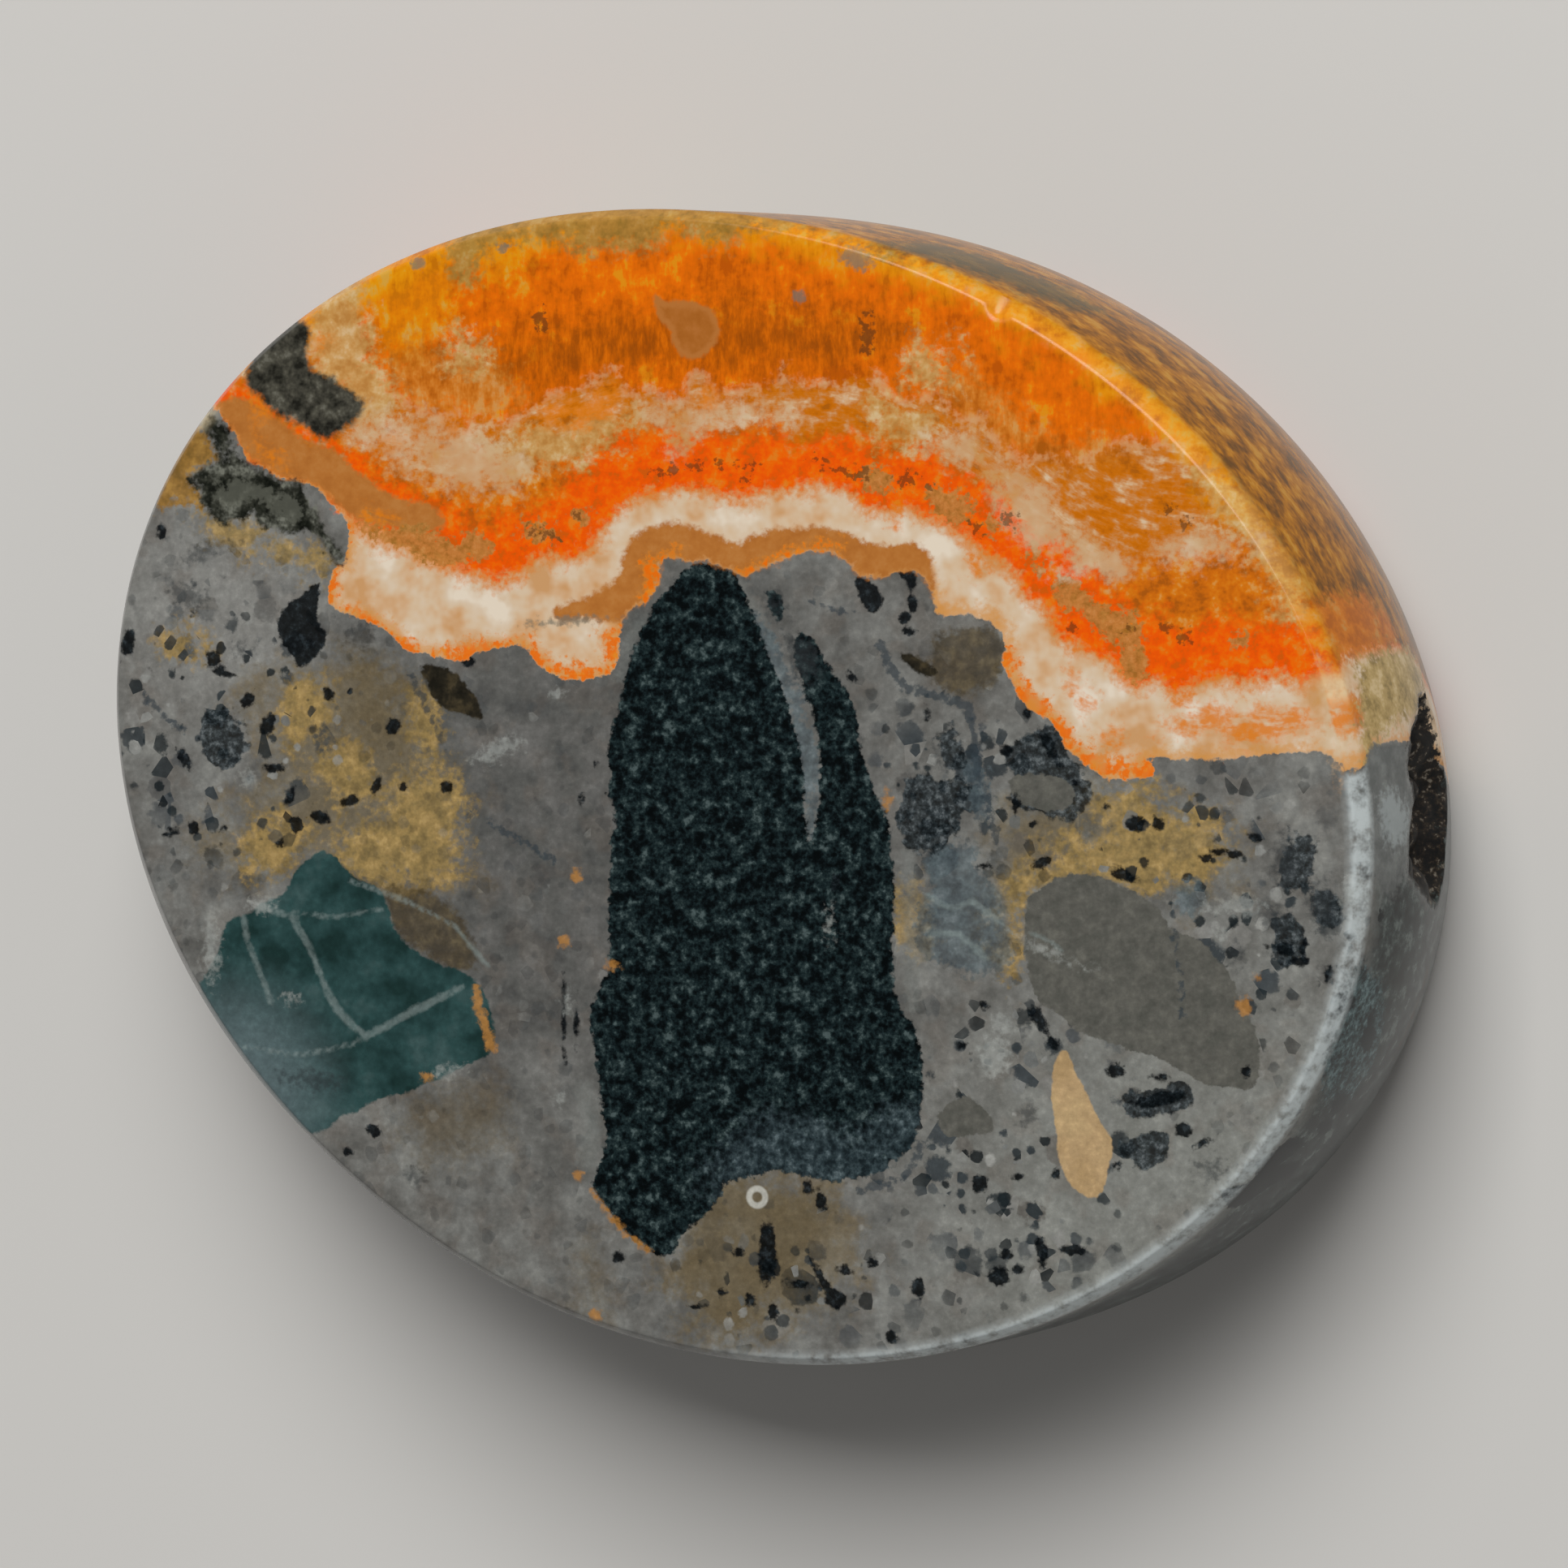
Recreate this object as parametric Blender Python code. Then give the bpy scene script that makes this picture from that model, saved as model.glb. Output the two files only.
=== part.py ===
"""Bumblebee jasper palm stone: one piece of banded rock, sawn to a thick oval slab and polished.

The stone lies on its flat back with the polished face up. X runs along the long axis of the oval and
Z through the thickness. The origin is the middle of the stone's box, on the surface it rests on.
"""

import math

import bmesh
import bpy
import numpy as np

# Driving dimensions, in metres
LONG_DIAMETER = 0.0676
SHORT_DIAMETER = 0.0558
THICKNESS = 0.0180
BEVEL_DEPTH = 0.0006
BEVEL_WIDTH_LEAST = 0.00040
BEVEL_WIDTH_MOST = 0.00085
BACK_ROUNDING = 0.0025

# The outline leaves a true oval by this much, in three soft corners
CORNER_SWELL = 0.00024

# The hand-ground side swells past the outline, more in some directions than in others
BELLY_MEAN = 0.00103
BELLY_TWO_WAY = 0.00100
BELLY_THREE_WAY = 0.00043
BELLY_HEIGHT_BIAS = 0.9

# One open vug in the side, lined with small crystals
VUG_HALF_LENGTH = 0.0043
VUG_HALF_HEIGHT = 0.0041
VUG_BELOW_FACE = 0.0082
VUG_HOLLOW = 0.0020
VUG_RAGGEDNESS = 0.16
CRYSTAL_HEIGHT = 0.0009
CRYSTAL_SPACING = 0.0024

# Directions round the oval, in degrees from +X towards +Y
CORNER_DIRECTION = 47.9
BEVEL_WIDE_DIRECTION = 55.7
BELLY_TWO_WAY_DIRECTION = 35.7
BELLY_THREE_WAY_DIRECTION = 88.9
VUG_DIRECTION = 18.5

# How sharply the wide stretch of the bevel narrows on both sides of its direction
BEVEL_TAPER = 6

# How finely the solid is faceted: its segments crowd together at the vug
SEGMENTS = 160
SEGMENT_CROWDING = 0.4
SIDE_STATIONS = 16
ROUNDING_STATIONS = 5
SMOOTH_ANGLE = 25.0

# Finish: the average colour of the polished rock
STONE_COLOUR = (0.196, 0.165, 0.147, 1.0)
STONE_ROUGHNESS = 0.22


def directions():
    """Angles round the oval, closer together near the vug and wider apart opposite it."""
    even = np.linspace(0.0, 2.0 * math.pi, SEGMENTS, endpoint=False)
    return even - SEGMENT_CROWDING * np.sin(even - math.radians(VUG_DIRECTION))


def wave(angle, count, direction):
    """A cosine with this many crests round the oval, one of them at the given direction."""
    return np.cos(count * (angle - math.radians(direction)))


def outline(angle):
    """Points of the oval with its three soft corners, and the way straight out of the oval at each."""
    half_long = LONG_DIAMETER / 2
    half_short = SHORT_DIAMETER / 2
    spread = np.hypot(half_short * np.cos(angle), half_long * np.sin(angle))
    radius = half_long * half_short / spread + CORNER_SWELL * wave(angle, 3, CORNER_DIRECTION)
    points = np.stack([radius * np.cos(angle), radius * np.sin(angle)], axis=1)
    outward = np.stack([np.cos(angle) / half_long**2, np.sin(angle) / half_short**2], axis=1)
    return points, outward / np.linalg.norm(outward, axis=1, keepdims=True)


def bevel_width(angle):
    """Width of the ground bevel: its least width plus one wide stretch."""
    nearness = (1 + wave(angle, 1, BEVEL_WIDE_DIRECTION)) / 2
    return BEVEL_WIDTH_LEAST + (BEVEL_WIDTH_MOST - BEVEL_WIDTH_LEAST) * nearness**BEVEL_TAPER


def belly(angle):
    """How far the side swells at mid height: a mean, a two-way and a three-way part."""
    two_way = BELLY_TWO_WAY * wave(angle, 2, BELLY_TWO_WAY_DIRECTION)
    three_way = BELLY_THREE_WAY * wave(angle, 3, BELLY_THREE_WAY_DIRECTION)
    return BELLY_MEAN + two_way + three_way


def depths():
    """Depths below the face of the side's rings: even down the side, then even round the back edge."""
    side = np.linspace(BEVEL_DEPTH, THICKNESS - BACK_ROUNDING, SIDE_STATIONS)
    turn = np.linspace(0.0, math.pi / 2, ROUNDING_STATIONS + 1)[1:]
    return np.concatenate([side, THICKNESS - BACK_ROUNDING * (1 - np.sin(turn))])


def side_offset(angle, depth):
    """How far the side stands past the outline: a half sine for the belly, less the rounded back edge."""
    share = (depth - BEVEL_DEPTH) / (THICKNESS - BEVEL_DEPTH)
    swell = belly(angle) * np.sin(math.pi * share**BELLY_HEIGHT_BIAS)
    into_rounding = max(0.0, 1 - (THICKNESS - depth) / BACK_ROUNDING)
    return swell - BACK_ROUNDING * (1 - math.sqrt(1 - into_rounding**2))


def vug_offset(angle, depth):
    """How far the vug sinks the side: a ragged round hollow, with blunt crystals standing on its floor."""
    along = (angle - math.radians(VUG_DIRECTION)) * LONG_DIAMETER / 2
    down = depth - VUG_BELOW_FACE
    turn = np.arctan2(down, along)
    reach = 1 + VUG_RAGGEDNESS * (np.sin(2 * turn + 1) + 0.6 * np.sin(5 * turn))
    nearness = np.hypot(along / VUG_HALF_LENGTH, down / VUG_HALF_HEIGHT) / reach
    hollow = VUG_HOLLOW * np.clip(1 - nearness**4, 0, 1)
    pitch = math.pi / CRYSTAL_SPACING
    crystals = np.abs(np.sin(pitch * (along + 0.5 * down)) * np.sin(pitch * (down - 0.3 * along)))
    return np.where(nearness < 1, CRYSTAL_HEIGHT * crystals - hollow, 0.0).clip(-VUG_HOLLOW, 0.0)


def stone_rings():
    """Rings from the face down to the back, each an array of points, before they are centred."""
    angle = directions()
    points, outward = outline(angle)
    face_edge = points - bevel_width(angle)[:, None] * outward
    rings = [np.column_stack([face_edge, np.full(SEGMENTS, THICKNESS)])]
    for depth in depths():
        offset = side_offset(angle, depth) + vug_offset(angle, depth)
        ring = points + offset[:, None] * outward
        rings.append(np.column_stack([ring, np.full(SEGMENTS, THICKNESS - depth)]))
    return np.array(rings)


def centred(rings):
    """The rings with the middle of their box on the Z axis."""
    corners = rings.reshape(-1, 3)
    middle = (corners.min(axis=0) + corners.max(axis=0)) / 2
    return rings - np.array([middle[0], middle[1], 0.0])


def add_loop(mesh, ring):
    """One closed loop of edges through the ring's points, in order."""
    corners = [mesh.verts.new(point) for point in ring]
    return [mesh.edges.new(pair) for pair in zip(corners, corners[1:] + corners[:1])]


def stone_material():
    """Polished jasper: hard, close-grained and smooth, so it holds a soft gloss."""
    material = bpy.data.materials.new("polished jasper")
    material.use_nodes = True
    shader = material.node_tree.nodes["Principled BSDF"]
    shader.inputs["Base Color"].default_value = STONE_COLOUR
    shader.inputs["Roughness"].default_value = STONE_ROUGHNESS
    shader.inputs["Metallic"].default_value = 0.0
    return material


def build_palm_stone():
    """The stone: its rings bridged from face to back, with the flat face and the flat back filled in."""
    shape = bmesh.new()
    loops = [add_loop(shape, ring) for ring in centred(stone_rings())]
    for upper, lower in zip(loops, loops[1:]):
        bmesh.ops.bridge_loops(shape, edges=upper + lower)
    bmesh.ops.contextual_create(shape, geom=loops[0])
    bmesh.ops.contextual_create(shape, geom=loops[-1])
    bmesh.ops.recalc_face_normals(shape, faces=shape.faces)
    mesh = bpy.data.meshes.new("palm_stone")
    shape.to_mesh(mesh)
    shape.free()
    mesh.shade_smooth()
    mesh.set_sharp_from_angle(angle=math.radians(SMOOTH_ANGLE))
    mesh.materials.append(stone_material())
    stone = bpy.data.objects.new("palm_stone", mesh)
    bpy.context.scene.collection.objects.link(stone)
    return stone


def main():
    for old in list(bpy.data.objects):
        bpy.data.objects.remove(old)
    build_palm_stone()


main()
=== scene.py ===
"""Looks of the bumblebee jasper palm stone: one polished stone with its bands and its breccia.

Lengths are in millimetres until a mesh, a light or the camera is made. The markings are outlines and spots
given in pixels of the photograph. The camera's sight lines carry them onto the stone, and each kind of
marking becomes an attribute of the mesh that says how deep inside the marking a point lies, in millimetres.
"""

import math

import bpy
import numpy as np
from mathutils import Matrix, Vector


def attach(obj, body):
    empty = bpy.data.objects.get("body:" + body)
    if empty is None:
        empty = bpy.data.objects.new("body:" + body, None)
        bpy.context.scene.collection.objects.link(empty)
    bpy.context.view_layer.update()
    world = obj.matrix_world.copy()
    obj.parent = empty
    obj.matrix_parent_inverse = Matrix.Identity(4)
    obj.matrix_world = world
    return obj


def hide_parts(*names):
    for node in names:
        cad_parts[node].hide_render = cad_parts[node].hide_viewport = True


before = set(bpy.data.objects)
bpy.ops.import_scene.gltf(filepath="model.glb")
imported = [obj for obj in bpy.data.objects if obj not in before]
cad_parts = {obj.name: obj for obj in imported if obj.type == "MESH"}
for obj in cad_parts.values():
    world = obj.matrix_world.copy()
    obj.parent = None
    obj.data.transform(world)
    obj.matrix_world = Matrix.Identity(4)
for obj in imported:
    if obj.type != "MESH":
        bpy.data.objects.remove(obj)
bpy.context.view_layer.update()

METRES = 0.001

# The stone's shape, with the same values and formulas as its CAD source
LONG_DIAMETER = 67.6
SHORT_DIAMETER = 55.8
THICKNESS = 18.0
BEVEL_DEPTH = 0.6
BEVEL_WIDTH_LEAST = 0.40
BEVEL_WIDTH_MOST = 0.85
BEVEL_WIDE_DIRECTION = 55.7
BEVEL_TAPER = 6
BACK_ROUNDING = 2.5
CORNER_SWELL = 0.24
CORNER_DIRECTION = 47.9
BELLY_MEAN = 1.03
BELLY_TWO_WAY = 1.00
BELLY_TWO_WAY_DIRECTION = 35.7
BELLY_THREE_WAY = 0.43
BELLY_THREE_WAY_DIRECTION = 88.9
BELLY_HEIGHT_BIAS = 0.9
VUG_DIRECTION = 18.5
VUG_HALF_LENGTH = 4.3
VUG_HALF_HEIGHT = 4.1
VUG_BELOW_FACE = 8.2
VUG_HOLLOW = 2.0
VUG_RAGGEDNESS = 0.16
CRYSTAL_HEIGHT = 0.9
CRYSTAL_SPACING = 2.4

# What the CAD solid leaves out: its two bevel edges are eased by the polishing, and one has a small chip
EDGE_EASE = 0.12
CHIP_DIRECTION = 77.5
CHIP_HALF_LENGTH = 0.5
CHIP_DEPTH = 0.22

# How finely the stone is meshed: rings, segments round the rim, and where the side's rings start
SEGMENTS = 768
SEGMENT_CROWDING = 0.25
FACE_RINGS = 114
SIDE_RINGS = 36
SIDE_START = 0.45
ROUNDING_RINGS = 6
BACK_RINGS = 42

# The camera: 20 degrees off the face, the photograph's horizontal running 20.66 degrees round from +X
PHOTO_SIZE = 1932
PHOTO_TURN = 20.66
CAMERA_TILT = 20.0
CAMERA_DIRECTION = 25.66
CAMERA_DISTANCE = 257.6
CAMERA_TARGET = np.array([3.53, 1.23, 18.0])
LENS = 120.0
SENSOR = 36.0
MM_PER_PIXEL = 0.04
SIGHT_STEPS = 361

# How the pattern goes on through the stone: it rises under the face, drifts to the back, and tapers
RIM_RISE = 1.3
RIM_RISE_START, RIM_RISE_END = 0.3, 1.6
DRIFT_START = 7.0
BACK_DRIFT = np.array([-2.5, 3.5])
BACK_SWAY = 1.8
SWAY_LENGTH = 26.0
TAPER = 0.3
STROKE_TAPER = 0.1
FAR = 3.0
UNROLLING_RADIUS = 33.0
# How far past the bevel its painted highlight fades out, in mm
BEVEL_HIGHLIGHT_FADE = 0.4

# Pixels far above the photograph, where the outline of what lies above a front is closed
FAR_ABOVE = [(2200, -1500), (-300, -1500)]

# Fronts that cross the whole stone from left to right: what is named lies above each
FRONTS = {
    "vein": [
        (-300, 300), (100, 430), (255, 500), (272, 512), (285, 528), (298, 550), (305, 567), (325, 575),
        (345, 590), (380, 597), (400, 612), (415, 628), (425, 640), (430, 660), (425, 690), (410, 705),
        (405, 730), (410, 748), (430, 758), (455, 765), (480, 780), (500, 800), (520, 805), (545, 812),
        (570, 812), (590, 802), (625, 797), (640, 795), (652, 802), (662, 817), (680, 832), (700, 837),
        (722, 837), (745, 833), (757, 825), (763, 805), (763, 783), (766, 765), (780, 750), (795, 742),
        (806, 730), (811, 712), (813, 697), (820, 688), (835, 688), (850, 692), (868, 690), (885, 697),
        (905, 704), (915, 711), (928, 705), (945, 699), (965, 690), (985, 682), (1005, 680), (1022, 681),
        (1040, 688), (1050, 698), (1058, 708), (1072, 711), (1090, 711), (1102, 706), (1120, 702),
        (1132, 706), (1145, 720), (1150, 738), (1155, 755), (1170, 759), (1190, 756), (1206, 759),
        (1222, 767), (1233, 781), (1240, 798), (1235, 815), (1241, 832), (1251, 850), (1266, 870),
        (1281, 881), (1296, 891), (1306, 906), (1316, 926), (1330, 936), (1356, 956), (1372, 962),
        (1392, 960), (1418, 956), (1421, 945), (1410, 935), (1430, 933), (1452, 936), (1500, 935),
        (1550, 930), (1600, 927), (1625, 925), (1640, 932), (1655, 945), (1667, 950), (1800, 948),
        (2200, 945),
    ],
    "band": [
        (-300, 300), (100, 430), (255, 500), (272, 512), (285, 528), (298, 550), (305, 567), (325, 575),
        (345, 590), (380, 597), (400, 612), (415, 628), (430, 640), (460, 660), (480, 672), (505, 680),
        (535, 690), (550, 700), (575, 708), (600, 715), (622, 714), (645, 702), (665, 690), (695, 685),
        (715, 680), (733, 668), (740, 652), (750, 637), (765, 625), (785, 613), (805, 607), (840, 603),
        (865, 606), (890, 612), (912, 615), (940, 610), (965, 603), (1000, 600), (1030, 603), (1050, 610),
        (1062, 622), (1090, 626), (1120, 626), (1150, 640), (1180, 656), (1210, 680), (1232, 692),
        (1248, 707), (1262, 727), (1282, 746), (1300, 762), (1308, 785), (1335, 798), (1358, 808),
        (1380, 830), (1402, 842), (1430, 840), (1457, 853), (1470, 843), (1492, 835), (1508, 835),
        (1530, 845), (1552, 838), (1575, 835), (1602, 841), (1632, 836), (1800, 832), (2200, 825),
    ],
    "wisp": [
        (-300, 100), (100, 300), (200, 385), (262, 430), (285, 470), (322, 487), (335, 505), (350, 513),
        (378, 535), (402, 541), (412, 540), (440, 552), (465, 563), (485, 575), (502, 586), (515, 592),
        (530, 588), (548, 591), (560, 600), (580, 612), (600, 618), (620, 612), (635, 600), (645, 583),
        (660, 570), (680, 568), (700, 575), (720, 572), (738, 560), (755, 545), (768, 532), (800, 525),
        (818, 530), (832, 545), (845, 551), (860, 540), (878, 522), (895, 530), (920, 530), (940, 520),
        (962, 520), (980, 545), (995, 548), (1005, 535), (1030, 530), (1060, 535), (1090, 545),
        (1110, 552), (1130, 548), (1150, 560), (1160, 575), (1180, 580), (1200, 590), (1235, 610),
        (1265, 640), (1300, 668), (1320, 680), (1345, 692), (1370, 700), (1400, 690), (1430, 680),
        (1460, 675), (1500, 672), (1540, 670), (1800, 668), (2200, 660),
    ],
    "fibre": [
        (-300, 0), (100, 200), (330, 370), (370, 400), (385, 430), (400, 462), (430, 490), (455, 500),
        (480, 490), (510, 505), (545, 512), (560, 510), (575, 530), (590, 515), (620, 525), (650, 505),
        (680, 487), (720, 478), (740, 465), (752, 457), (765, 470), (775, 485), (800, 480), (820, 490),
        (840, 490), (850, 470), (862, 463), (875, 475), (885, 483), (905, 485), (920, 478), (940, 480),
        (960, 465), (970, 452), (978, 466), (1000, 475), (1030, 470), (1055, 470), (1075, 465),
        (1090, 480), (1110, 500), (1150, 495), (1165, 505), (1185, 520), (1205, 515), (1225, 540),
        (1245, 560), (1260, 570), (1290, 560), (1320, 570), (1350, 560), (1380, 550), (1400, 545),
        (1450, 545), (1560, 560), (1800, 570), (2200, 570),
    ],
    "crust": [
        (-300, 60), (100, 160), (400, 230), (500, 258), (540, 285), (555, 320), (570, 345), (585, 340),
        (592, 312), (612, 312), (625, 300), (650, 295), (680, 297), (700, 300), (715, 310), (730, 312),
        (745, 300), (760, 305), (800, 302), (815, 295), (822, 283), (835, 277), (845, 280), (860, 290),
        (880, 299), (895, 299), (905, 288), (925, 280), (960, 282), (1000, 280), (1040, 284), (1080, 286),
        (1120, 270), (1180, 230), (1300, 40), (2200, -500),
    ],
}

# The bands' general run, which their wisps and fibres follow
FLOW = [
    (-300, 330), (100, 430), (255, 480), (400, 530), (520, 555), (620, 555), (700, 540), (770, 528),
    (860, 518), (960, 518), (1060, 528), (1150, 552), (1250, 610), (1350, 665), (1450, 690), (1600, 695),
    (2200, 690),
]

# Closed outlines on the face
PATCHES = {
    "salmon": [
        [
            (680, 752), (700, 745), (725, 735), (748, 722), (762, 705), (768, 685), (778, 665), (795, 652),
            (820, 645), (845, 645), (868, 655), (890, 665), (912, 668), (935, 658), (960, 651),
            (1000, 648), (1030, 653), (1058, 663), (1080, 671), (1102, 672), (1122, 668), (1140, 676),
            (1150, 692), (1152, 715), (1150, 735), (1140, 730), (1120, 712), (1090, 725), (1060, 722),
            (1040, 700), (1005, 692), (960, 705), (915, 725), (870, 705), (820, 700), (808, 735),
            (780, 760), (755, 770), (720, 762), (690, 766),
        ],
        [
            (268, 497), (285, 490), (305, 490), (330, 507), (350, 520), (375, 540), (400, 548), (420, 562),
            (440, 580), (460, 597), (490, 612), (520, 618), (540, 630), (548, 645), (530, 655), (500, 655),
            (475, 650), (450, 645), (430, 635), (415, 622), (400, 608), (380, 595), (345, 588), (325, 573),
            (305, 560), (292, 540), (282, 522), (268, 508),
        ],
    ],
    "tan": [
        [(440, 640), (480, 646), (530, 658), (572, 676), (575, 700), (540, 692), (500, 682), (462, 664)],
        [(568, 668), (585, 660), (600, 665), (606, 680), (595, 692), (578, 690), (567, 680)],
        [(640, 655), (655, 645), (675, 642), (690, 652), (686, 665), (668, 671), (650, 668)],
        [(700, 632), (712, 621), (726, 628), (724, 642), (708, 646)],
        [(1058, 588), (1075, 579), (1098, 582), (1106, 592), (1095, 601), (1070, 600)],
        [
            (1140, 600), (1150, 596), (1172, 599), (1196, 609), (1202, 628), (1190, 645), (1168, 642),
            (1152, 628),
        ],
        [(1208, 640), (1220, 637), (1232, 646), (1222, 655)],
        [
            (1305, 715), (1330, 720), (1345, 730), (1355, 745), (1380, 750), (1400, 760), (1415, 775),
            (1415, 790), (1405, 800), (1415, 815), (1410, 830), (1400, 835), (1385, 825), (1380, 810),
            (1375, 790), (1355, 775), (1340, 770), (1320, 755), (1305, 740),
        ],
        [(1264, 682), (1276, 677), (1290, 690), (1284, 702), (1270, 696)],
        [(1518, 784), (1532, 780), (1542, 792), (1532, 802), (1518, 798)],
    ],
    "cream": [
        [
            (450, 520), (480, 515), (520, 522), (560, 535), (600, 540), (640, 560), (655, 575), (640, 590),
            (620, 608), (600, 612), (575, 605), (555, 592), (530, 582), (505, 575), (480, 562), (455, 548),
            (440, 535),
        ],
        [
            (795, 515), (830, 505), (870, 503), (920, 500), (970, 497), (990, 505), (970, 515), (930, 518),
            (900, 522), (870, 525), (855, 545), (840, 552), (825, 545), (815, 530),
        ],
        [(1135, 545), (1150, 530), (1200, 540), (1205, 565), (1180, 572), (1150, 560)],
        [
            (1215, 585), (1245, 580), (1275, 600), (1310, 640), (1345, 670), (1390, 695), (1370, 712),
            (1330, 700), (1290, 680), (1260, 655), (1235, 625),
        ],
        [(1440, 672), (1480, 664), (1520, 662), (1555, 668), (1520, 678), (1470, 680)],
        [(1625, 842), (1660, 838), (1676, 870), (1674, 940), (1650, 938), (1632, 900)],
    ],
    "haze": [
        [
            (385, 372), (405, 352), (430, 345), (446, 365), (452, 400), (458, 440), (480, 465), (492, 485),
            (478, 505), (455, 514), (430, 500), (410, 478), (392, 458), (384, 430), (380, 400),
        ],
        [
            (600, 548), (650, 538), (700, 528), (750, 518), (778, 512), (775, 528), (750, 545), (710, 560),
            (640, 580),
        ],
        [(1080, 502), (1120, 500), (1155, 520), (1135, 540), (1095, 532)],
        [(1115, 445), (1140, 436), (1168, 442), (1172, 465), (1150, 480), (1125, 472)],
        [(550, 430), (568, 416), (588, 425), (586, 442), (565, 447)],
        [
            (1480, 590), (1515, 590), (1562, 640), (1605, 715), (1615, 760), (1585, 745), (1545, 680),
            (1500, 630),
        ],
    ],
    "russet": [
        [
            (600, 430), (680, 400), (800, 385), (900, 370), (1000, 378), (1080, 385), (1120, 410),
            (1090, 445), (1000, 452), (900, 462), (800, 462), (700, 468), (620, 480), (590, 460),
        ],
    ],
    "gold": [
        [
            (400, 352), (470, 308), (540, 286), (562, 330), (555, 385), (530, 430), (495, 455), (468, 440),
            (452, 400), (438, 360),
        ],
        [(575, 300), (640, 278), (660, 310), (640, 345), (600, 350), (578, 330)],
    ],
    "tawny": [
        [(455, 440), (500, 425), (560, 420), (610, 450), (640, 490), (600, 515), (545, 510), (490, 495)],
        [
            (1100, 460), (1180, 450), (1240, 500), (1300, 540), (1380, 540), (1390, 560), (1280, 572),
            (1180, 520),
        ],
    ],
    "drop": [
        [
            (806, 360), (820, 372), (835, 370), (855, 372), (875, 380), (884, 395), (887, 410), (880, 425),
            (865, 440), (850, 443), (835, 435), (828, 420), (825, 405), (815, 395), (806, 378),
        ],
    ],
    "amber": [
        [(665, 500), (690, 492), (720, 495), (755, 492), (765, 505), (740, 520), (700, 528), (675, 520)],
        [(1500, 886), (1525, 878), (1552, 884), (1548, 908), (1530, 920), (1508, 912)],
        [(1540, 880), (1585, 872), (1622, 880), (1620, 898), (1590, 906), (1550, 904)],
        [(320, 455), (335, 480), (320, 492), (300, 482)],
        [(306, 486), (325, 494), (336, 508), (326, 514), (310, 502)],
        [(315, 540), (330, 548), (352, 566), (356, 582), (342, 580), (322, 560)],
        [(445, 632), (465, 628), (485, 636), (482, 645), (460, 646)],
        [(1440, 870), (1470, 862), (1500, 875), (1495, 900), (1465, 905)],
    ],
    "slate": [
        [
            (300, 450), (302, 475), (310, 484), (322, 487), (332, 500), (348, 512), (375, 528), (395, 538),
            (408, 540), (425, 527), (440, 512), (444, 500), (437, 488), (428, 478), (418, 470), (405, 466),
            (395, 462), (385, 448), (381, 428), (384, 410), (376, 398), (360, 385), (330, 390), (280, 430),
        ],
    ],
    "mottle": [
        [
            (238, 500), (250, 505), (268, 512), (282, 530), (295, 555), (305, 572), (330, 580), (350, 592),
            (365, 588), (378, 597), (383, 612), (390, 640), (400, 655), (415, 672), (424, 690), (418, 696),
            (405, 680), (395, 660), (380, 655), (360, 662), (340, 655), (320, 645), (312, 632), (300, 640),
            (275, 643), (258, 635), (252, 620), (250, 603), (240, 598), (232, 588), (245, 580), (262, 573),
            (275, 572), (265, 550), (252, 530), (238, 515),
        ],
    ],
    "mustard": [
        [
            (210, 500), (235, 518), (250, 530), (262, 550), (265, 565), (248, 578), (232, 588), (240, 600),
            (252, 625), (235, 620), (205, 622), (165, 610), (170, 570), (185, 535),
        ],
    ],
    "ochre": [
        [
            (1245, 1085), (1290, 1065), (1300, 1040), (1370, 1035), (1400, 1020), (1450, 1025),
            (1500, 1050), (1480, 1075), (1440, 1085), (1415, 1100), (1395, 1095), (1370, 1085),
            (1340, 1075), (1310, 1080), (1280, 1095), (1265, 1105), (1255, 1125), (1240, 1110),
        ],
        [(1350, 985), (1375, 973), (1420, 978), (1425, 1005), (1390, 1012), (1355, 1008)],
        [(1370, 1015), (1410, 1000), (1470, 1010), (1510, 1045), (1480, 1070), (1420, 1062), (1380, 1050)],
        [(1105, 1102), (1125, 1098), (1132, 1125), (1126, 1157), (1108, 1150)],
        [(350, 870), (365, 850), (395, 848), (405, 870), (390, 905), (365, 925), (350, 900)],
        [(510, 870), (535, 875), (540, 915), (525, 930), (512, 905)],
        [(395, 940), (430, 922), (455, 940), (450, 975), (415, 985), (398, 965)],
        [(300, 1030), (325, 1012), (365, 1015), (372, 1045), (350, 1068), (315, 1062)],
        [
            (420, 1025), (470, 1010), (500, 960), (555, 965), (565, 1010), (555, 1065), (500, 1085),
            (440, 1070),
        ],
        [(205, 790), (240, 782), (260, 795), (235, 808), (208, 803)],
        [
            (250, 640), (300, 648), (330, 662), (370, 676), (400, 690), (398, 704), (365, 692), (320, 674),
            (255, 652),
        ],
        [(1240, 1105), (1258, 1110), (1255, 1160), (1248, 1200), (1240, 1160)],
    ],
    "rust": [
        [
            (870, 1490), (900, 1450), (940, 1455), (1000, 1470), (1010, 1520), (980, 1580), (930, 1640),
            (860, 1630), (840, 1560),
        ],
        [(500, 1370), (550, 1345), (610, 1350), (620, 1400), (570, 1430), (510, 1420)],
        [(722, 1540), (738, 1545), (742, 1630), (722, 1628)],
        [(440, 800), (480, 830), (500, 880), (480, 930), (430, 900), (420, 850)],
    ],
    "tooth": [
        [
            (850, 698), (835, 710), (825, 725), (805, 745), (800, 760), (792, 775), (785, 790), (778, 805),
            (775, 820), (770, 840), (765, 860), (762, 880), (755, 895), (750, 930), (752, 960), (748, 975),
            (755, 990), (757, 1020), (753, 1050), (752, 1100), (748, 1140), (752, 1190), (742, 1210),
            (735, 1225), (728, 1250), (733, 1300), (738, 1350), (748, 1400), (740, 1430), (728, 1460),
            (745, 1485), (765, 1515), (790, 1535), (815, 1548), (830, 1545), (840, 1525), (860, 1505),
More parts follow.
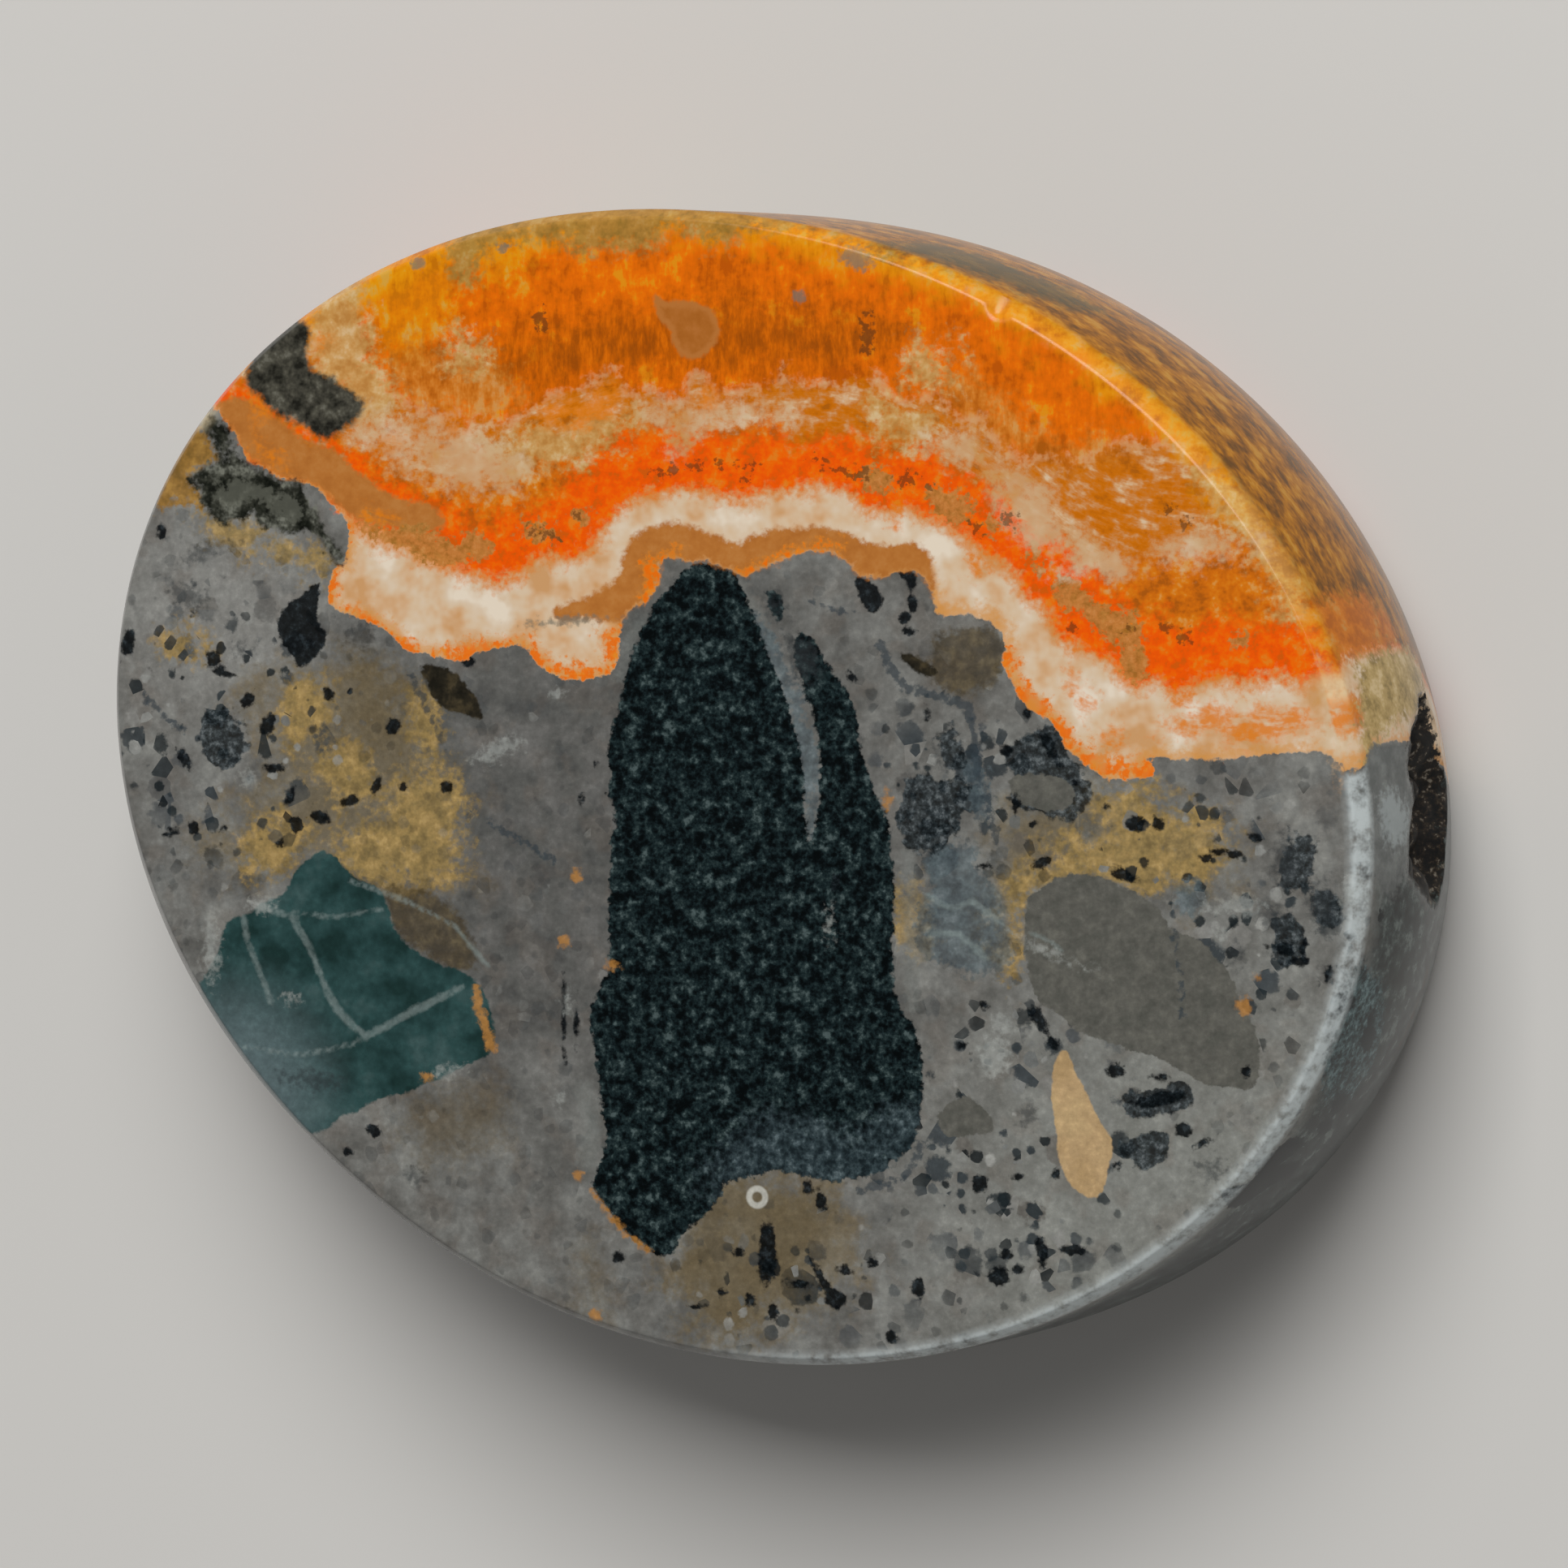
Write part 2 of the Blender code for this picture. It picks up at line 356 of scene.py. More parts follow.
            (875, 1490), (890, 1465), (900, 1455), (930, 1450), (960, 1440), (1000, 1450), (1060, 1450),
            (1105, 1430), (1125, 1405), (1135, 1350), (1135, 1300), (1125, 1260), (1108, 1240),
            (1100, 1200), (1102, 1100), (1098, 1050), (1075, 1000), (1040, 985), (1010, 990), (1000, 1040),
            (992, 1020), (990, 950), (975, 880), (960, 835), (950, 815), (940, 790), (930, 765),
            (920, 740), (912, 720), (905, 705), (885, 697), (865, 694),
        ],
        [(945, 728), (958, 730), (968, 750), (962, 765), (948, 752)],
        [
            (985, 775), (1003, 790), (1020, 820), (1042, 850), (1055, 880), (1062, 920), (1075, 965),
            (1092, 1010), (1098, 1060), (1085, 1120), (1050, 1150), (1028, 1130), (1012, 1075),
            (1008, 1020), (1010, 940), (1003, 890), (988, 840), (978, 800),
        ],
    ],
    "green": [
        [
            (395, 1048), (415, 1060), (435, 1080), (465, 1095), (478, 1115), (485, 1145), (510, 1170),
            (545, 1190), (580, 1200), (600, 1230), (610, 1280), (600, 1300), (580, 1310), (540, 1330),
            (500, 1345), (460, 1355), (440, 1370), (420, 1375), (390, 1395), (300, 1400), (200, 1300),
            (240, 1225), (265, 1180), (280, 1140), (305, 1125), (330, 1110), (345, 1105), (355, 1090),
            (370, 1065),
        ],
    ],
    "moss": [
        [
            (470, 1098), (500, 1095), (540, 1105), (575, 1135), (585, 1175), (580, 1198), (545, 1188),
            (510, 1168), (487, 1142),
        ],
        [
            (1155, 785), (1180, 778), (1210, 775), (1230, 780), (1240, 795), (1235, 815), (1230, 840),
            (1215, 850), (1190, 855), (1165, 850), (1150, 830), (1150, 800),
        ],
    ],
    "clast": [
        [
            (1265, 1110), (1280, 1095), (1310, 1080), (1340, 1078), (1370, 1085), (1400, 1100),
            (1430, 1120), (1445, 1148), (1480, 1160), (1500, 1180), (1520, 1210), (1530, 1240),
            (1545, 1265), (1550, 1300), (1545, 1340), (1510, 1340), (1480, 1335), (1440, 1310),
            (1400, 1295), (1350, 1280), (1320, 1262), (1290, 1240), (1270, 1215), (1262, 1160),
        ],
        [
            (1195, 1350), (1175, 1355), (1158, 1370), (1155, 1385), (1170, 1400), (1200, 1398),
            (1222, 1393), (1222, 1380), (1212, 1365),
        ],
        [(1240, 962), (1270, 953), (1310, 960), (1325, 980), (1300, 1000), (1262, 992)],
    ],
    "steel": [
        [
            (1150, 1045), (1200, 1040), (1210, 1070), (1240, 1110), (1245, 1150), (1245, 1180),
            (1215, 1200), (1170, 1190), (1135, 1170), (1130, 1130), (1145, 1090),
        ],
        [(1445, 1098), (1462, 1088), (1482, 1095), (1484, 1115), (1465, 1126), (1448, 1118)],
        [(1188, 945), (1215, 950), (1222, 1000), (1205, 1010), (1190, 985)],
        [
            (915, 755), (940, 770), (975, 830), (1000, 900), (1012, 960), (1000, 1040), (990, 990),
            (975, 900), (950, 830), (925, 775),
        ],
    ],
    "slag": [
        [
            (1120, 962), (1150, 953), (1185, 962), (1197, 990), (1182, 1022), (1150, 1050), (1114, 1048),
            (1111, 1010),
        ],
        [
            (1242, 930), (1262, 900), (1300, 893), (1330, 930), (1347, 965), (1335, 1000), (1290, 1012),
            (1255, 1000),
        ],
        [(1592, 1026), (1620, 1030), (1614, 1074), (1598, 1092), (1582, 1088), (1586, 1052)],
        [(1565, 1142), (1590, 1130), (1612, 1150), (1610, 1184), (1586, 1200), (1562, 1176)],
        [(1625, 1098), (1650, 1095), (1655, 1130), (1640, 1148), (1618, 1130)],
        [(1388, 1352), (1420, 1342), (1462, 1334), (1468, 1352), (1440, 1372), (1396, 1376)],
        [(1392, 1396), (1415, 1388), (1432, 1402), (1424, 1436), (1402, 1444), (1388, 1420)],
        [(250, 880), (300, 885), (298, 920), (285, 945), (258, 942), (245, 910)],
        [(1150, 900), (1172, 880), (1188, 905), (1180, 940), (1160, 945)],
    ],
    "stain": [
        [
            (290, 850), (360, 822), (440, 818), (520, 860), (556, 950), (572, 1070), (500, 1092),
            (420, 1075), (300, 1075), (240, 1040), (330, 950),
        ],
        [
            (1225, 1010), (1290, 960), (1360, 950), (1460, 1000), (1530, 1055), (1490, 1100), (1390, 1098),
            (1300, 1092), (1262, 1130), (1240, 1190), (1215, 1120),
        ],
        [(840, 1500), (900, 1440), (1010, 1460), (1060, 1540), (1010, 1610), (900, 1650), (830, 1600)],
    ],
    "fringe": [
        [
            (870, 1465), (890, 1410), (930, 1385), (1000, 1385), (1060, 1392), (1110, 1370), (1140, 1395),
            (1110, 1445), (1000, 1465), (930, 1462),
        ],
    ],
    "carrot": [
        [
            (1310, 1293), (1300, 1305), (1297, 1330), (1297, 1370), (1303, 1400), (1305, 1430),
            (1320, 1460), (1335, 1473), (1348, 1476), (1360, 1465), (1365, 1440), (1370, 1420),
            (1368, 1400), (1358, 1385), (1345, 1360), (1335, 1340), (1325, 1320), (1318, 1300),
        ],
    ],
    "ink": [
        [
            (395, 718), (385, 722), (370, 735), (350, 750), (342, 770), (345, 785), (358, 805), (370, 823),
            (385, 815), (398, 800), (400, 780), (390, 760),
        ],
        [
            (1053, 715), (1062, 712), (1078, 722), (1088, 738), (1085, 750), (1075, 755), (1065, 745),
            (1058, 730),
        ],
        [
            (1105, 706), (1122, 702), (1130, 715), (1125, 730), (1130, 745), (1125, 752), (1118, 745),
            (1122, 725),
        ],
    ],
    "umber": [
        [
            (518, 820), (540, 820), (560, 830), (580, 850), (595, 880), (590, 888), (570, 880), (550, 875),
            (535, 860), (525, 840),
        ],
        [(1108, 808), (1122, 806), (1148, 822), (1150, 832), (1128, 828)],
    ],
}

# Spots on the face: middle, half length, half width, and turn in degrees clockwise from the horizontal
SPOTS = {
    "ink": [
        (158, 790, 20, 11, 100), (198, 655, 9, 6, 90), (305, 863, 12, 9, -30), (330, 893, 15, 10, -60),
        (228, 935, 18, 8, 55), (405, 855, 10, 8, 60), (432, 852, 5, 5, 0), (275, 828, 20, 7, 20),
        (262, 812, 12, 9, 60), (358, 980, 12, 7, -60), (430, 987, 14, 6, -10), (395, 1006, 15, 8, 25),
        (465, 965, 12, 5, -70), (497, 970, 7, 6, 0), (550, 970, 9, 8, 0), (365, 1015, 11, 9, 90),
        (210, 1025, 12, 7, -10), (238, 1020, 9, 7, 70), (275, 1020, 7, 6, 0), (345, 1038, 6, 6, 0),
        (577, 815, 7, 6, 0), (340, 945, 18, 6, 0), (485, 893, 12, 9, -60), (460, 1393, 10, 7, 30),
        (430, 1420, 8, 6, 0), (735, 940, 6, 6, 0), (717, 985, 10, 5, 100), (762, 1550, 12, 9, 20),
        (945, 1548, 38, 11, 92), (910, 1542, 7, 6, 0), (855, 1611, 16, 5, -5), (925, 1602, 9, 7, 60),
        (953, 1615, 11, 8, 90), (888, 1592, 7, 5, 0), (995, 1463, 8, 5, 90), (1012, 1480, 11, 6, 80),
        (1012, 1575, 22, 6, 60), (1030, 1600, 14, 12, 0), (1040, 1565, 10, 6, 20), (985, 1582, 14, 5, 10),
        (1075, 1555, 9, 7, -20), (1130, 1585, 12, 7, 80), (1098, 1647, 9, 8, 0), (1240, 1545, 12, 8, 0),
        (1232, 1572, 14, 13, 0), (1255, 1565, 9, 7, 0), (1283, 1540, 16, 6, 85), (1323, 1540, 13, 6, 0),
        (1207, 1459, 13, 11, 90), (1255, 1450, 7, 5, 0), (1299, 1446, 7, 5, 100), (1185, 1287, 7, 6, -20),
        (1215, 1240, 7, 6, 30), (1282, 1260, 18, 8, 62), (1297, 1287, 8, 8, 0), (1376, 1320, 13, 9, 0),
        (1427, 1328, 12, 5, 5), (1428, 1354, 30, 8, -12), (1378, 1437, 6, 5, 80), (1458, 1392, 10, 10, 0),
        (1485, 1408, 16, 5, -25), (1535, 1320, 7, 5, 90), (1637, 1200, 10, 6, 90), (1560, 1165, 9, 5, 70),
        (1582, 1168, 10, 8, 0), (1600, 1185, 12, 8, -20), (1607, 1165, 14, 5, 90), (1547, 1032, 8, 5, 20),
        (1520, 1052, 12, 6, 15), (1500, 1050, 8, 5, 0), (1487, 1057, 7, 5, 0), (1385, 1078, 16, 7, 28),
        (1400, 1015, 12, 8, 0), (1428, 1015, 8, 7, 90), (1285, 1062, 14, 8, -25), (1212, 1067, 13, 5, 0),
        (1273, 1015, 7, 5, -45), (1252, 993, 12, 5, 90), (1363, 995, 6, 5, 0), (1325, 963, 8, 6, 20),
        (1292, 918, 28, 8, 62), (1308, 942, 8, 5, 20), (1265, 880, 6, 6, 0), (1240, 925, 7, 7, 0),
        (1143, 885, 14, 5, 90), (1048, 833, 9, 5, 70), (1120, 778, 8, 5, 0), (1115, 762, 6, 6, 0),
        (1030, 1090, 8, 13, 0), (695, 1250, 50, 3, 90), (710, 1260, 30, 3, 92),
    ],
    "murk": [
        (445, 783, 18, 12, 10), (510, 1450, 10, 9, 0), (1525, 1176, 14, 10, 70), (1565, 1130, 19, 14, 60),
        (1630, 1115, 27, 17, 100), (1158, 935, 14, 8, 70), (1268, 1370, 9, 7, 90), (985, 810, 30, 14, 65),
        (955, 745, 16, 8, 60), (1490, 1440, 20, 14, 0), (1580, 1060, 24, 12, 100), (385, 1330, 30, 12, 10),
        (250, 680, 26, 8, -10), (235, 735, 22, 12, 20), (300, 800, 14, 8, 0),
    ],
    "chalk": [
        (615, 925, 28, 10, -25), (320, 1115, 14, 8, 0), (305, 960, 9, 10, 0), (685, 855, 5, 5, 0),
        (690, 1355, 6, 6, 0), (700, 1238, 5, 9, 0), (1525, 1115, 22, 10, 0), (1505, 1155, 6, 8, 0),
        (1665, 1100, 12, 16, 0), (1225, 1300, 18, 24, 20), (260, 1170, 10, 30, 0), (550, 1320, 14, 6, 0),
        (1022, 1135, 4, 10, 0), (1290, 1170, 24, 4, 25), (1490, 1120, 8, 6, 0), (360, 1230, 8, 6, 0),
        (1235, 1262, 12, 8, 40),
    ],
    "ember": [
        (713, 1448, 6, 6, 0), (695, 1160, 7, 7, 0), (710, 1080, 7, 7, 0), (753, 1190, 8, 5, 0),
        (1093, 985, 6, 10, 0), (1533, 1240, 9, 11, 0), (1548, 1202, 5, 5, 0), (733, 1620, 7, 10, 0),
        (525, 1328, 9, 7, 0),
    ],
    "amber": [
        (1320, 835, 8, 15, 0), (1340, 865, 10, 15, 0), (1430, 895, 10, 7, 0), (395, 420, 9, 8, 0),
        (375, 395, 8, 7, 0), (485, 545, 11, 7, 0), (560, 518, 7, 10, 0), (748, 485, 16, 12, 0),
        (870, 490, 11, 11, 0), (1105, 640, 6, 8, 0), (1200, 700, 7, 9, 0), (1370, 905, 9, 12, 0),
    ],
    "crowd": [
        (1480, 1130, 190, 160, 0), (1180, 960, 120, 120, 0), (270, 900, 170, 170, 0),
        (1250, 1400, 170, 170, 0), (990, 1590, 130, 60, 0), (1260, 1560, 90, 50, 0),
    ],
    "bark": [
        (810, 582, 6, 5, 0), (828, 578, 6, 5, 0), (860, 573, 9, 6, 0), (885, 573, 6, 6, 0),
        (915, 573, 6, 5, 0), (930, 572, 6, 5, 0), (918, 590, 7, 5, 0), (1010, 570, 11, 5, 0),
        (1040, 578, 5, 5, 0), (1060, 585, 10, 6, 0), (1115, 590, 14, 8, 0), (1145, 598, 5, 5, 0),
        (1322, 773, 6, 6, 0), (1390, 773, 6, 6, 0), (1437, 775, 7, 5, 0), (1460, 785, 10, 6, 0),
        (662, 655, 12, 5, 0), (680, 662, 8, 5, 0), (1440, 625, 7, 6, 0), (1460, 645, 7, 6, 0),
        (1068, 415, 8, 22, 0), (665, 395, 7, 14, 0), (1245, 640, 8, 5, 30), (1200, 650, 8, 5, 30),
        (710, 636, 5, 4, 0),
    ],
    "tan": [(985, 365, 8, 8, 0)],
    "fog": [
        (1055, 318, 22, 13, 20), (515, 325, 9, 7, 0), (620, 305, 12, 7, 0), (985, 365, 7, 7, 0),
        (705, 764, 40, 4, -4),
    ],
}

# Thin lines on the face: half width, then the points along the line
STROKES = {
    "hem": [
        (7, [(480, 780), (492, 795), (510, 803)]),
        (6, [(535, 806), (560, 810), (584, 806)]),
        (7, [(655, 803), (672, 822), (700, 831), (722, 831), (748, 826)]),
        (10, [(753, 785), (754, 815)]),
        (10, [(800, 698), (800, 738)]),
        (5, [(828, 683), (818, 688)]),
        (3, [(912, 706), (940, 697), (965, 686), (985, 678), (1005, 676), (1025, 677)]),
        (9, [(1240, 812), (1246, 838), (1264, 864), (1287, 880), (1305, 898), (1320, 924)]),
        (10, [(1320, 924), (1345, 942), (1370, 950), (1395, 950), (1415, 950)]),
        (5, [(425, 650), (408, 700), (406, 740)]),
        (4, [(430, 756), (465, 769)]),
        (4, [(575, 802), (600, 797), (640, 795)]),
    ],
    "ember": [
        (6, [(586, 1215), (589, 1240), (598, 1265), (606, 1290)]),
        (3, [(728, 1465), (745, 1490), (770, 1520), (800, 1540)]),
    ],
    "thread": [
        (
            4,
            [
                (320, 1115), (360, 1130), (380, 1165), (395, 1200), (405, 1225), (420, 1250), (450, 1277),
                (480, 1262), (510, 1245), (525, 1238), (570, 1215),
            ],
        ),
        (3.5, [(300, 1130), (305, 1160), (315, 1185), (325, 1210), (335, 1235)]),
        (2.5, [(360, 1125), (410, 1130), (470, 1120)]),
        (2.5, [(300, 1290), (370, 1300), (440, 1285)]),
        (2.5, [(1270, 1150), (1290, 1158), (1310, 1172)]),
        (3, [(1140, 1100), (1170, 1120), (1200, 1110), (1235, 1140)]),
        (3, [(1145, 1150), (1180, 1150), (1215, 1180)]),
        (2.5, [(430, 1085), (500, 1110), (560, 1140), (600, 1190)]),
    ],
    "seam": [
        (4, [(600, 1012), (640, 1035), (680, 1060)]),
        (3, [(505, 830), (520, 860), (535, 890), (550, 925)]),
        (
            5,
            [
                (1085, 795), (1100, 830), (1120, 850), (1160, 858), (1190, 870), (1200, 905), (1205, 950),
                (1220, 1000), (1228, 1040),
            ],
        ),
        (2.5, [(1000, 740), (1025, 752), (1050, 755)]),
        (5, [(1110, 1452), (1125, 1435), (1135, 1412)]),
        (4, [(1060, 1467), (1080, 1462), (1100, 1455)]),
        (2.5, [(1445, 1150), (1455, 1200), (1455, 1250)]),
        (4, [(180, 860), (200, 880), (225, 900)]),
    ],
    "halo": [
        (12, [(905, 722), (930, 765), (955, 825), (978, 885), (1000, 930), (1000, 1040), (1015, 1110)]),
        (12, [(720, 1345), (728, 1390), (725, 1430)]),
        (8, [(1118, 1050), (1122, 1150), (1125, 1240)]),
        (8, [(790, 765), (775, 790), (765, 830)]),
    ],
}

# Markings on the side
RIM_PATCHES = {
    "bank": [
        [
            (1672, 826), (1690, 808), (1720, 800), (1745, 815), (1752, 850), (1745, 880), (1715, 890),
            (1698, 905), (1686, 940), (1678, 935), (1676, 880),
        ],
    ],
    "amber": [
        [(1605, 745), (1650, 732), (1700, 748), (1720, 785), (1690, 802), (1650, 808), (1625, 800)],
        [(1655, 858), (1680, 862), (1682, 900), (1662, 898)],
    ],
    "olive": [
        [
            (1080, 302), (1150, 300), (1250, 330), (1330, 365), (1360, 385), (1300, 375), (1220, 345),
            (1140, 320),
        ],
        [(1715, 1180), (1738, 1190), (1735, 1240), (1712, 1240)],
    ],
    "ash": [[(1685, 905), (1745, 888), (1757, 960), (1740, 1060), (1712, 1110), (1690, 1060), (1680, 960)]],
    "ink": [
        [(1550, 1438), (1570, 1418), (1592, 1402), (1608, 1400), (1604, 1414), (1588, 1426), (1556, 1448)],
        [(1514, 1476), (1534, 1458), (1560, 1444), (1592, 1430), (1602, 1436), (1580, 1452), (1520, 1488)],
        [(1640, 1360), (1652, 1345), (1662, 1350), (1650, 1370)],
        [(1676, 1290), (1684, 1262), (1694, 1268), (1686, 1298)],
        [(1622, 1392), (1634, 1378), (1640, 1386), (1628, 1400)],
        [(1655, 1240), (1662, 1222), (1670, 1228), (1664, 1248)],
    ],
    "murk": [
        [(1640, 1210), (1680, 1190), (1705, 1240), (1690, 1310), (1655, 1360), (1630, 1340), (1640, 1280)],
    ],
    "chalk": [[(1700, 985), (1722, 980), (1735, 1005), (1728, 1040), (1708, 1035)]],
}
RIM_SPOTS = {
    "ink": [
        (1759, 1115, 6, 11, 0), (1757, 1157, 3, 13, 0), (1690, 1250, 6, 9, 10), (1665, 1300, 5, 9, 10),
        (1650, 1330, 5, 8, 20), (1600, 1370, 7, 6, 0), (1700, 1130, 5, 8, 0), (1725, 1110, 5, 7, 0),
    ],
    "rust": [(1745, 1240, 7, 45, 12)],
    "fog": [(1672, 725, 14, 12, 0)],
    "chalk": [(1640, 682, 26, 4, -10), (1668, 1098, 10, 12, 0)],
}

# Fragments on the unseen back, in mm from the middle: x, y, half length, half width, turn
BACK_SPOTS = {
    "tooth": [(-9.0, -9.0, 8.0, 4.5, 70)],
    "green": [(12.0, -14.0, 5.5, 4.0, 20)],
    "clast": [(2.0, -19.0, 4.0, 2.6, -15), (-22.0, -4.0, 4.2, 3.0, 50)],
    "ochre": [(19.0, -6.0, 4.0, 2.2, 30), (-14.0, -18.0, 4.5, 2.4, -30)],
    "ink": [
        (3.0, -8.0, 1.3, 0.7, 20), (7.0, -11.0, 0.9, 0.5, 80), (-2.0, -14.0, 1.1, 0.7, 0),
        (24.0, -3.0, 1.2, 0.6, 60),
    ],
}


def unit(vector):
    return vector / np.linalg.norm(vector)


def camera_axes():
    """The camera's way right, up and back, from its tilt off the face and the photograph's turn round it."""
    tilt, toward, turn = np.radians([CAMERA_TILT, CAMERA_DIRECTION, PHOTO_TURN])
    back = np.array([math.sin(tilt) * math.cos(toward), math.sin(tilt) * math.sin(toward), math.cos(tilt)])
    level = np.array([math.cos(turn), math.sin(turn), 0.0])
    right = unit(level - level @ back * back)
    return right, np.cross(back, right), back


RIGHT, UP, BACK = camera_axes()
EYE = CAMERA_TARGET + CAMERA_DISTANCE * BACK


def wave(angle, count, direction):
    """A cosine with this many crests round the oval, one of them at the given direction."""
    return np.cos(count * (angle - math.radians(direction)))


def outline_radius(angle):
    """Distance of the outline from the middle: an oval with three soft corners."""
    half_long, half_short = LONG_DIAMETER / 2, SHORT_DIAMETER / 2
    spread = np.hypot(half_short * np.cos(angle), half_long * np.sin(angle))
    return half_long * half_short / spread + CORNER_SWELL * wave(angle, 3, CORNER_DIRECTION)


def outline(angle):
    """Points of the outline, and the way straight out of the oval at each."""
    points = outline_radius(angle)[:, None] * np.stack([np.cos(angle), np.sin(angle)], axis=1)
    outward = np.stack([np.cos(angle) / LONG_DIAMETER**2, np.sin(angle) / SHORT_DIAMETER**2], axis=1)
    return points, outward / np.linalg.norm(outward, axis=1, keepdims=True)


def bevel_width(angle):
    """Width of the ground bevel: its least width plus one wide stretch."""
    nearness = (1 + wave(angle, 1, BEVEL_WIDE_DIRECTION)) / 2
    return BEVEL_WIDTH_LEAST + (BEVEL_WIDTH_MOST - BEVEL_WIDTH_LEAST) * nearness**BEVEL_TAPER


def side_offset(angle, depth):
    """How far the side stands past the outline: a half sine for the belly, less the rounded back edge."""
    two_way = BELLY_TWO_WAY * wave(angle, 2, BELLY_TWO_WAY_DIRECTION)
    three_way = BELLY_THREE_WAY * wave(angle, 3, BELLY_THREE_WAY_DIRECTION)
    share = np.clip((depth - BEVEL_DEPTH) / (THICKNESS - BEVEL_DEPTH), 0, 1)
    swell = (BELLY_MEAN + two_way + three_way) * np.sin(math.pi * share**BELLY_HEIGHT_BIAS)
    into_rounding = np.clip(1 - (THICKNESS - depth) / BACK_ROUNDING, 0, 1)
    return swell - BACK_ROUNDING * (1 - np.sqrt(1 - into_rounding**2))


def vug_nearness(angle, depth):
    """0 at the middle of the vug and 1 at its ragged rim, and how far along and down each point is."""
    along = (angle - math.radians(VUG_DIRECTION)) * LONG_DIAMETER / 2
    down = depth - VUG_BELOW_FACE
    turn = np.arctan2(down, along)
    reach = 1 + VUG_RAGGEDNESS * (np.sin(2 * turn + 1) + 0.6 * np.sin(5 * turn))
    return np.hypot(along / VUG_HALF_LENGTH, down / VUG_HALF_HEIGHT) / reach, along, down


def vug_offset(angle, depth):
    """How far the vug sinks the side: a ragged round hollow, with blunt crystals standing on its floor."""
    nearness, along, down = vug_nearness(angle, depth)
    hollow = VUG_HOLLOW * np.clip(1 - nearness**4, 0, 1)
    pitch = math.pi / CRYSTAL_SPACING
    crystals = np.abs(np.sin(pitch * (along + 0.5 * down)) * np.sin(pitch * (down - 0.3 * along)))
    return np.where(nearness < 1, CRYSTAL_HEIGHT * crystals - hollow, 0.0).clip(-VUG_HOLLOW, 0.0)


def directions(count):
    """Angles round the oval, closer together near the vug and wider apart opposite it."""
    even = np.linspace(0.0, 2.0 * math.pi, count, endpoint=False)
    return even - SEGMENT_CROWDING * np.sin(even - math.radians(VUG_DIRECTION))


def side_ring(angle, depth):
    """One ring of the side, as deep below the face as given."""
    points, outward = outline(angle)
    offset = side_offset(angle, depth) + vug_offset(angle, depth)
    return np.column_stack([points + offset[:, None] * outward, np.full(len(angle), THICKNESS - depth)])


def bevel_corners(angle):
    """The bevel's upper edge, with the chip bitten out of it, and its lower edge."""
    points, outward = outline(angle)
    along = (angle - math.radians(CHIP_DIRECTION)) * SHORT_DIAMETER / 2
    chip = CHIP_DEPTH * np.exp(-((along / CHIP_HALF_LENGTH) ** 2))
    upper = points - (bevel_width(angle) + chip)[:, None] * outward
    lower = np.column_stack([points, np.full(len(angle), THICKNESS - BEVEL_DEPTH)])
    return np.column_stack([upper, THICKNESS - chip]), lower


def eased(before, corner, after):
    """Four rings round an edge: a quadratic curve from one side of it to the other."""
    start = corner + EDGE_EASE * (before - corner) / np.linalg.norm(before - corner, axis=1, keepdims=True)
    end = corner + EDGE_EASE * (after - corner) / np.linalg.norm(after - corner, axis=1, keepdims=True)
    return [(1 - t) ** 2 * start + 2 * t * (1 - t) * corner + t**2 * end for t in np.linspace(0, 1, 4)]


def disc_counts(shares):
    """Segments of the rings of a disc: halved each time that the ring is half as wide."""
    halvings = np.clip(np.floor(-np.log2(shares)), 0, 4).astype(int)
    return (SEGMENTS >> halvings).tolist()


def stone_rings():
    """Rings from the middle of the face over its edge and down the side to the middle of the back.

    The face and the back are their edge scaled towards the middle. The side is the outline pushed out by
    its offset at each depth. Rings of half as many segments follow where the mesh can be coarser.
    """
    rings = []
    shares = np.linspace(0, 1, FACE_RINGS + 1)[1:-1]
    for share, count in zip(shares, disc_counts(shares)):
        edge = bevel_corners(directions(count))[0]
        ring = edge * [share, share, 0] + [0, 0, THICKNESS]
        rings.append(ring)
    angle = directions(SEGMENTS)
    upper, lower = bevel_corners(angle)
    face_inside = upper * [0.99, 0.99, 0] + [0, 0, THICKNESS]
    side_below = side_ring(angle, BEVEL_DEPTH + 0.5)
    rings += eased(face_inside, upper, lower)
    rings += eased(upper, lower, side_below)
    angle = directions(SEGMENTS // 2)
    side_depths = np.linspace(BEVEL_DEPTH + SIDE_START, THICKNESS - BACK_ROUNDING, SIDE_RINGS)
    turns = np.linspace(0, math.pi / 2, ROUNDING_RINGS + 1)[1:]
    rounding_depths = THICKNESS - BACK_ROUNDING * (1 - np.sin(turns))
    rings += [side_ring(angle, depth) for depth in np.concatenate([side_depths, rounding_depths])]
    shares = np.linspace(1, 0, BACK_RINGS + 1)[1:-1]
    for share, count in zip(shares, disc_counts(shares)):
        ring = side_ring(directions(min(count, SEGMENTS // 2)), THICKNESS) * [share, share, 1]
        rings.append(ring)
    return rings


